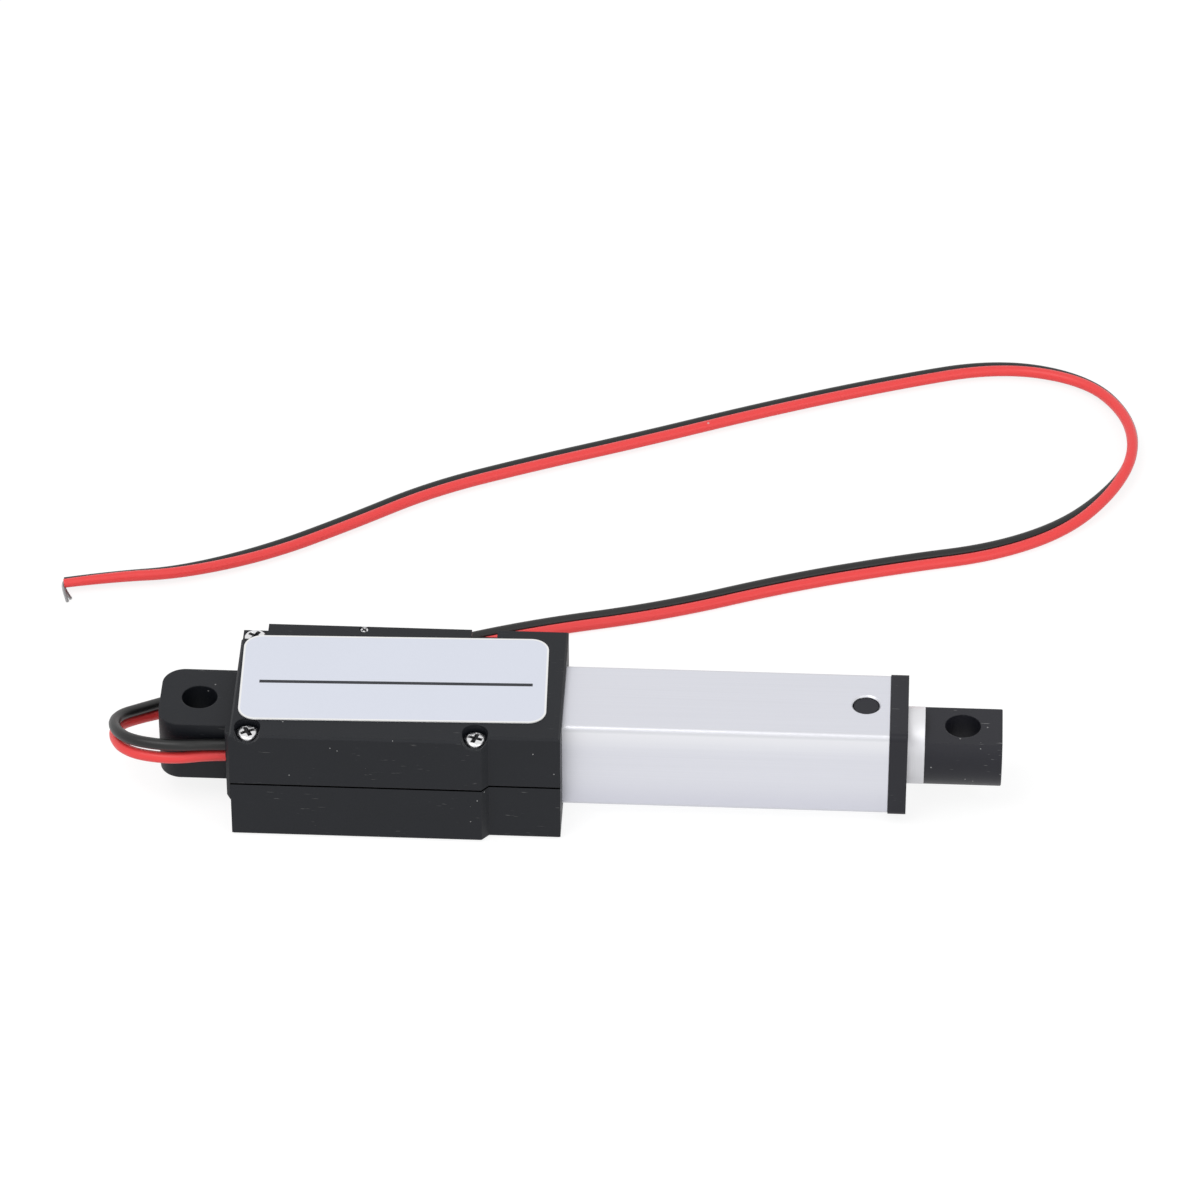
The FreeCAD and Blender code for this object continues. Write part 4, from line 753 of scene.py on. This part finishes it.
def wireVinyl(name, look):
    material, tree, skin, place = newMaterial(name, Specular_IOR_Level=look["gloss"])
    grain = useGroup(tree, mouldGrain, Vector=place, Scale=look["grain"])
    dust = useGroup(tree, dustSpecks, Vector=place, Scale=look["speckScale"], Size=look["speckSize"],
                    Share=look["dustShare"])
    body = mixColour(tree, grain["Cloud"], look["dark"], look["light"])
    tree.links.new(mixColour(tree, dust["Mask"], body, look["dust"]), skin["Base Color"])
    tree.links.new(spread(tree, grain["Cloud"], look["smooth"], look["rough"]), skin["Roughness"])
    addRelief(tree, skin, grain["Height"], look["bump"], look["bumpDepth"])
    return material


# limit board: solder mask over a weave of glass
boardMask = {"dark": (0.012, 0.10, 0.03, 1), "light": (0.02, 0.16, 0.055, 1),
             "edge": (0.5, 0.45, 0.25, 1), "weave": 900.0, "ease": 0.1, "breakup": 500.0,
             "smooth": 0.24, "rough": 0.32, "gloss": 0.5}


def boardGreen(name, look):
    material, tree, skin, place = newMaterial(name, Specular_IOR_Level=look["gloss"])
    weave = addNode(tree, "ShaderNodeTexChecker", {"Vector": place, "Scale": look["weave"],
                                                   "Color1": look["dark"], "Color2": look["light"]})
    wear = useGroup(tree, rimWear, Vector=place, Radius=look["ease"] * mm, Breakup=look["breakup"])
    tree.links.new(mixColour(tree, wear["Mask"], weave.outputs[0], look["edge"]), skin["Base Color"])
    tree.links.new(spread(tree, weave.outputs[1], look["smooth"], look["rough"]), skin["Roughness"])
    return material


housingFinish = mouldedPlastic("housingBlack", housingPlastic)
mountFinish = mouldedPlastic("mountBlack", mountPlastic)
rodEndFinish = mouldedPlastic("rodEndBlack", rodEndPlastic)
capFinish = mouldedPlastic("capBlack", capPlastic)
switchFinish = mouldedPlastic("switchBlack", switchPlastic)
nutFinish = mouldedPlastic("nutAcetal", nutPlastic)
tubeFinish = workedMetal("tubeAnodised", tubeMetal)
rodFinish = workedMetal("rodGround", rodMetal)
screwFinish = workedMetal("screwZinc", screwMetal)
headFinish = workedMetal("screwHead", headMetal)
motorFinish = workedMetal("motorNickel", motorMetal)
gearFinish = workedMetal("gearBrass", gearMetal)
coilFinish = workedMetal("coilCopper", coilMetal)
ironFinish = workedMetal("magnetIron", ironMetal)
tinFinish = workedMetal("strandTin", tinMetal)
boardFinish = boardGreen("boardMask", boardMask)
nodeFinish = {
    housingFinish: ("upper_housing", "lower_housing"),
    mountFinish: ("rear_mount",),
    rodEndFinish: ("rod_end",),
    capFinish: ("front_cap",),
    switchFinish: ("rear_limit_switch", "front_limit_switch", "limit_diodes"),
    nutFinish: ("drive_nut", "motor_end_bell"),
    tubeFinish: ("actuator_tube",),
    rodFinish: ("rod_tube",),
    screwFinish: ("gearbox_pillars", "idler_axle", "motor_shaft"),
    motorFinish: ("motor_can",),
    gearFinish: ("motor_pinion", "first_gear", "second_gear", "third_gear", "output_gear", "screw_bush",
                 "gearbox_rear_plate", "gearbox_front_plate", "motor_terminals", "motor_commutator"),
    coilFinish: ("motor_windings", "switch_lead"),
    ironFinish: ("motor_magnets", "motor_core"),
    boardFinish: ("limit_board",),
    labelFilm("labelFilm", labelPrint): ("label",),
}
for finish, names in nodeFinish.items():
    for name in names:
        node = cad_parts[name]
        if not node.material_slots:
            node.data.materials.append(None)
        node.material_slots[0].material = finish
for piece, finish, slot in (
        (redLead, wireVinyl("leadRed", redVinyl), "red_insulation"),
        (blackLead, wireVinyl("leadBlack", blackVinyl), "black_insulation"),
        (redStrands, tinFinish, "tinned_strands"), (blackStrands, tinFinish, "tinned_strands"),
        (housingScrews, headFinish, "screw_steel"), (backEdgeScrew, headFinish, "screw_steel"),
        (threadedScrew, screwFinish, "screw_steel")):
    piece.data.materials.append(finish)
print("finishes set")

# white floor, soft boxes, and a world that shows white and lights gently
studio = {
    "floorSize": 6.0,
    "floorLevel": 0.02,      # mm under the lowest piece
    "floorShow": 0.84,       # what the floor shows of itself, before the light that falls on it
    "floorCatch": 0.26,      # how much of the light on it is added, so that shadows show
    "floorBounce": 0.75,
    "skyLight": 0.55,
    "keyPlace": (-0.28, -0.30, 0.75),
    "keyAim": (0.04, 0.0, 0.0),
    "keySize": 0.5,
    "keyPower": 2.3,
    "fillPlace": (0.45, -0.65, 0.40),
    "fillSize": 0.6,
    "fillPower": 1.2,
}


def seenWhite(tree):
    # 1 for what the camera sees itself, in metal or through glass
    path = tree.nodes.new("ShaderNodeLightPath").outputs
    seen = maths(tree, "MAXIMUM", path["Is Camera Ray"], path["Is Glossy Ray"])
    return maths(tree, "MAXIMUM", seen, path["Is Transmission Ray"])


def makeFloor(look):
    reach = look["floorSize"] / 2
    level = cadBox[0].z - look["floorLevel"] * mm
    mesh = bpy.data.meshes.new("floor")
    mesh.from_pydata([(-reach, -reach, level), (reach, -reach, level), (reach, reach, level),
                      (-reach, reach, level)], [], [(0, 1, 2, 3)])
    floor = bpy.data.objects.new("floor", mesh)
    scene.collection.objects.link(floor)
    material = bpy.data.materials.new("floorWhite")
    material.use_nodes = True
    tree = material.node_tree
    tree.nodes.clear()
    catch = addNode(tree, "ShaderNodeBsdfDiffuse", {"Color": grey(look["floorCatch"])})
    show = addNode(tree, "ShaderNodeEmission", {"Strength": look["floorShow"]})
    both = addNode(tree, "ShaderNodeAddShader", {0: catch.outputs[0], 1: show.outputs[0]})
    bounce = addNode(tree, "ShaderNodeBsdfDiffuse", {"Color": grey(look["floorBounce"])})
    pick = addNode(tree, "ShaderNodeMixShader", {0: seenWhite(tree), 1: bounce.outputs[0],
                                                 2: both.outputs[0]})
    addNode(tree, "ShaderNodeOutputMaterial", {"Surface": pick.outputs[0]})
    mesh.materials.append(material)


def makeWorld(look):
    world = bpy.data.worlds.new("studioSky")
    scene.world = world
    world.use_nodes = True
    tree = world.node_tree
    tree.nodes.clear()
    strength = spread(tree, seenWhite(tree), look["skyLight"], 1.0)
    sky = addNode(tree, "ShaderNodeBackground", {"Color": grey(1.0), "Strength": strength})
    addNode(tree, "ShaderNodeOutputWorld", {"Surface": sky.outputs[0]})


def softBox(name, place, aim, size, power):
    lamp = bpy.data.lights.new(name, "AREA")
    lamp.shape = "SQUARE"
    lamp.size = size
    lamp.energy = power
    holder = bpy.data.objects.new(name, lamp)
    back = np.array(place) - np.array(aim)
    level = math.hypot(back[0], back[1])
    holder.location = place
    holder.rotation_euler = (math.atan2(level, back[2]), 0, math.atan2(back[0], -back[1]))
    scene.collection.objects.link(holder)


makeFloor(studio)
makeWorld(studio)
softBox("keyBox", studio["keyPlace"], studio["keyAim"], studio["keySize"], studio["keyPower"])
softBox("fillBox", studio["fillPlace"], studio["keyAim"], studio["fillSize"], studio["fillPower"])
print("studio lit")
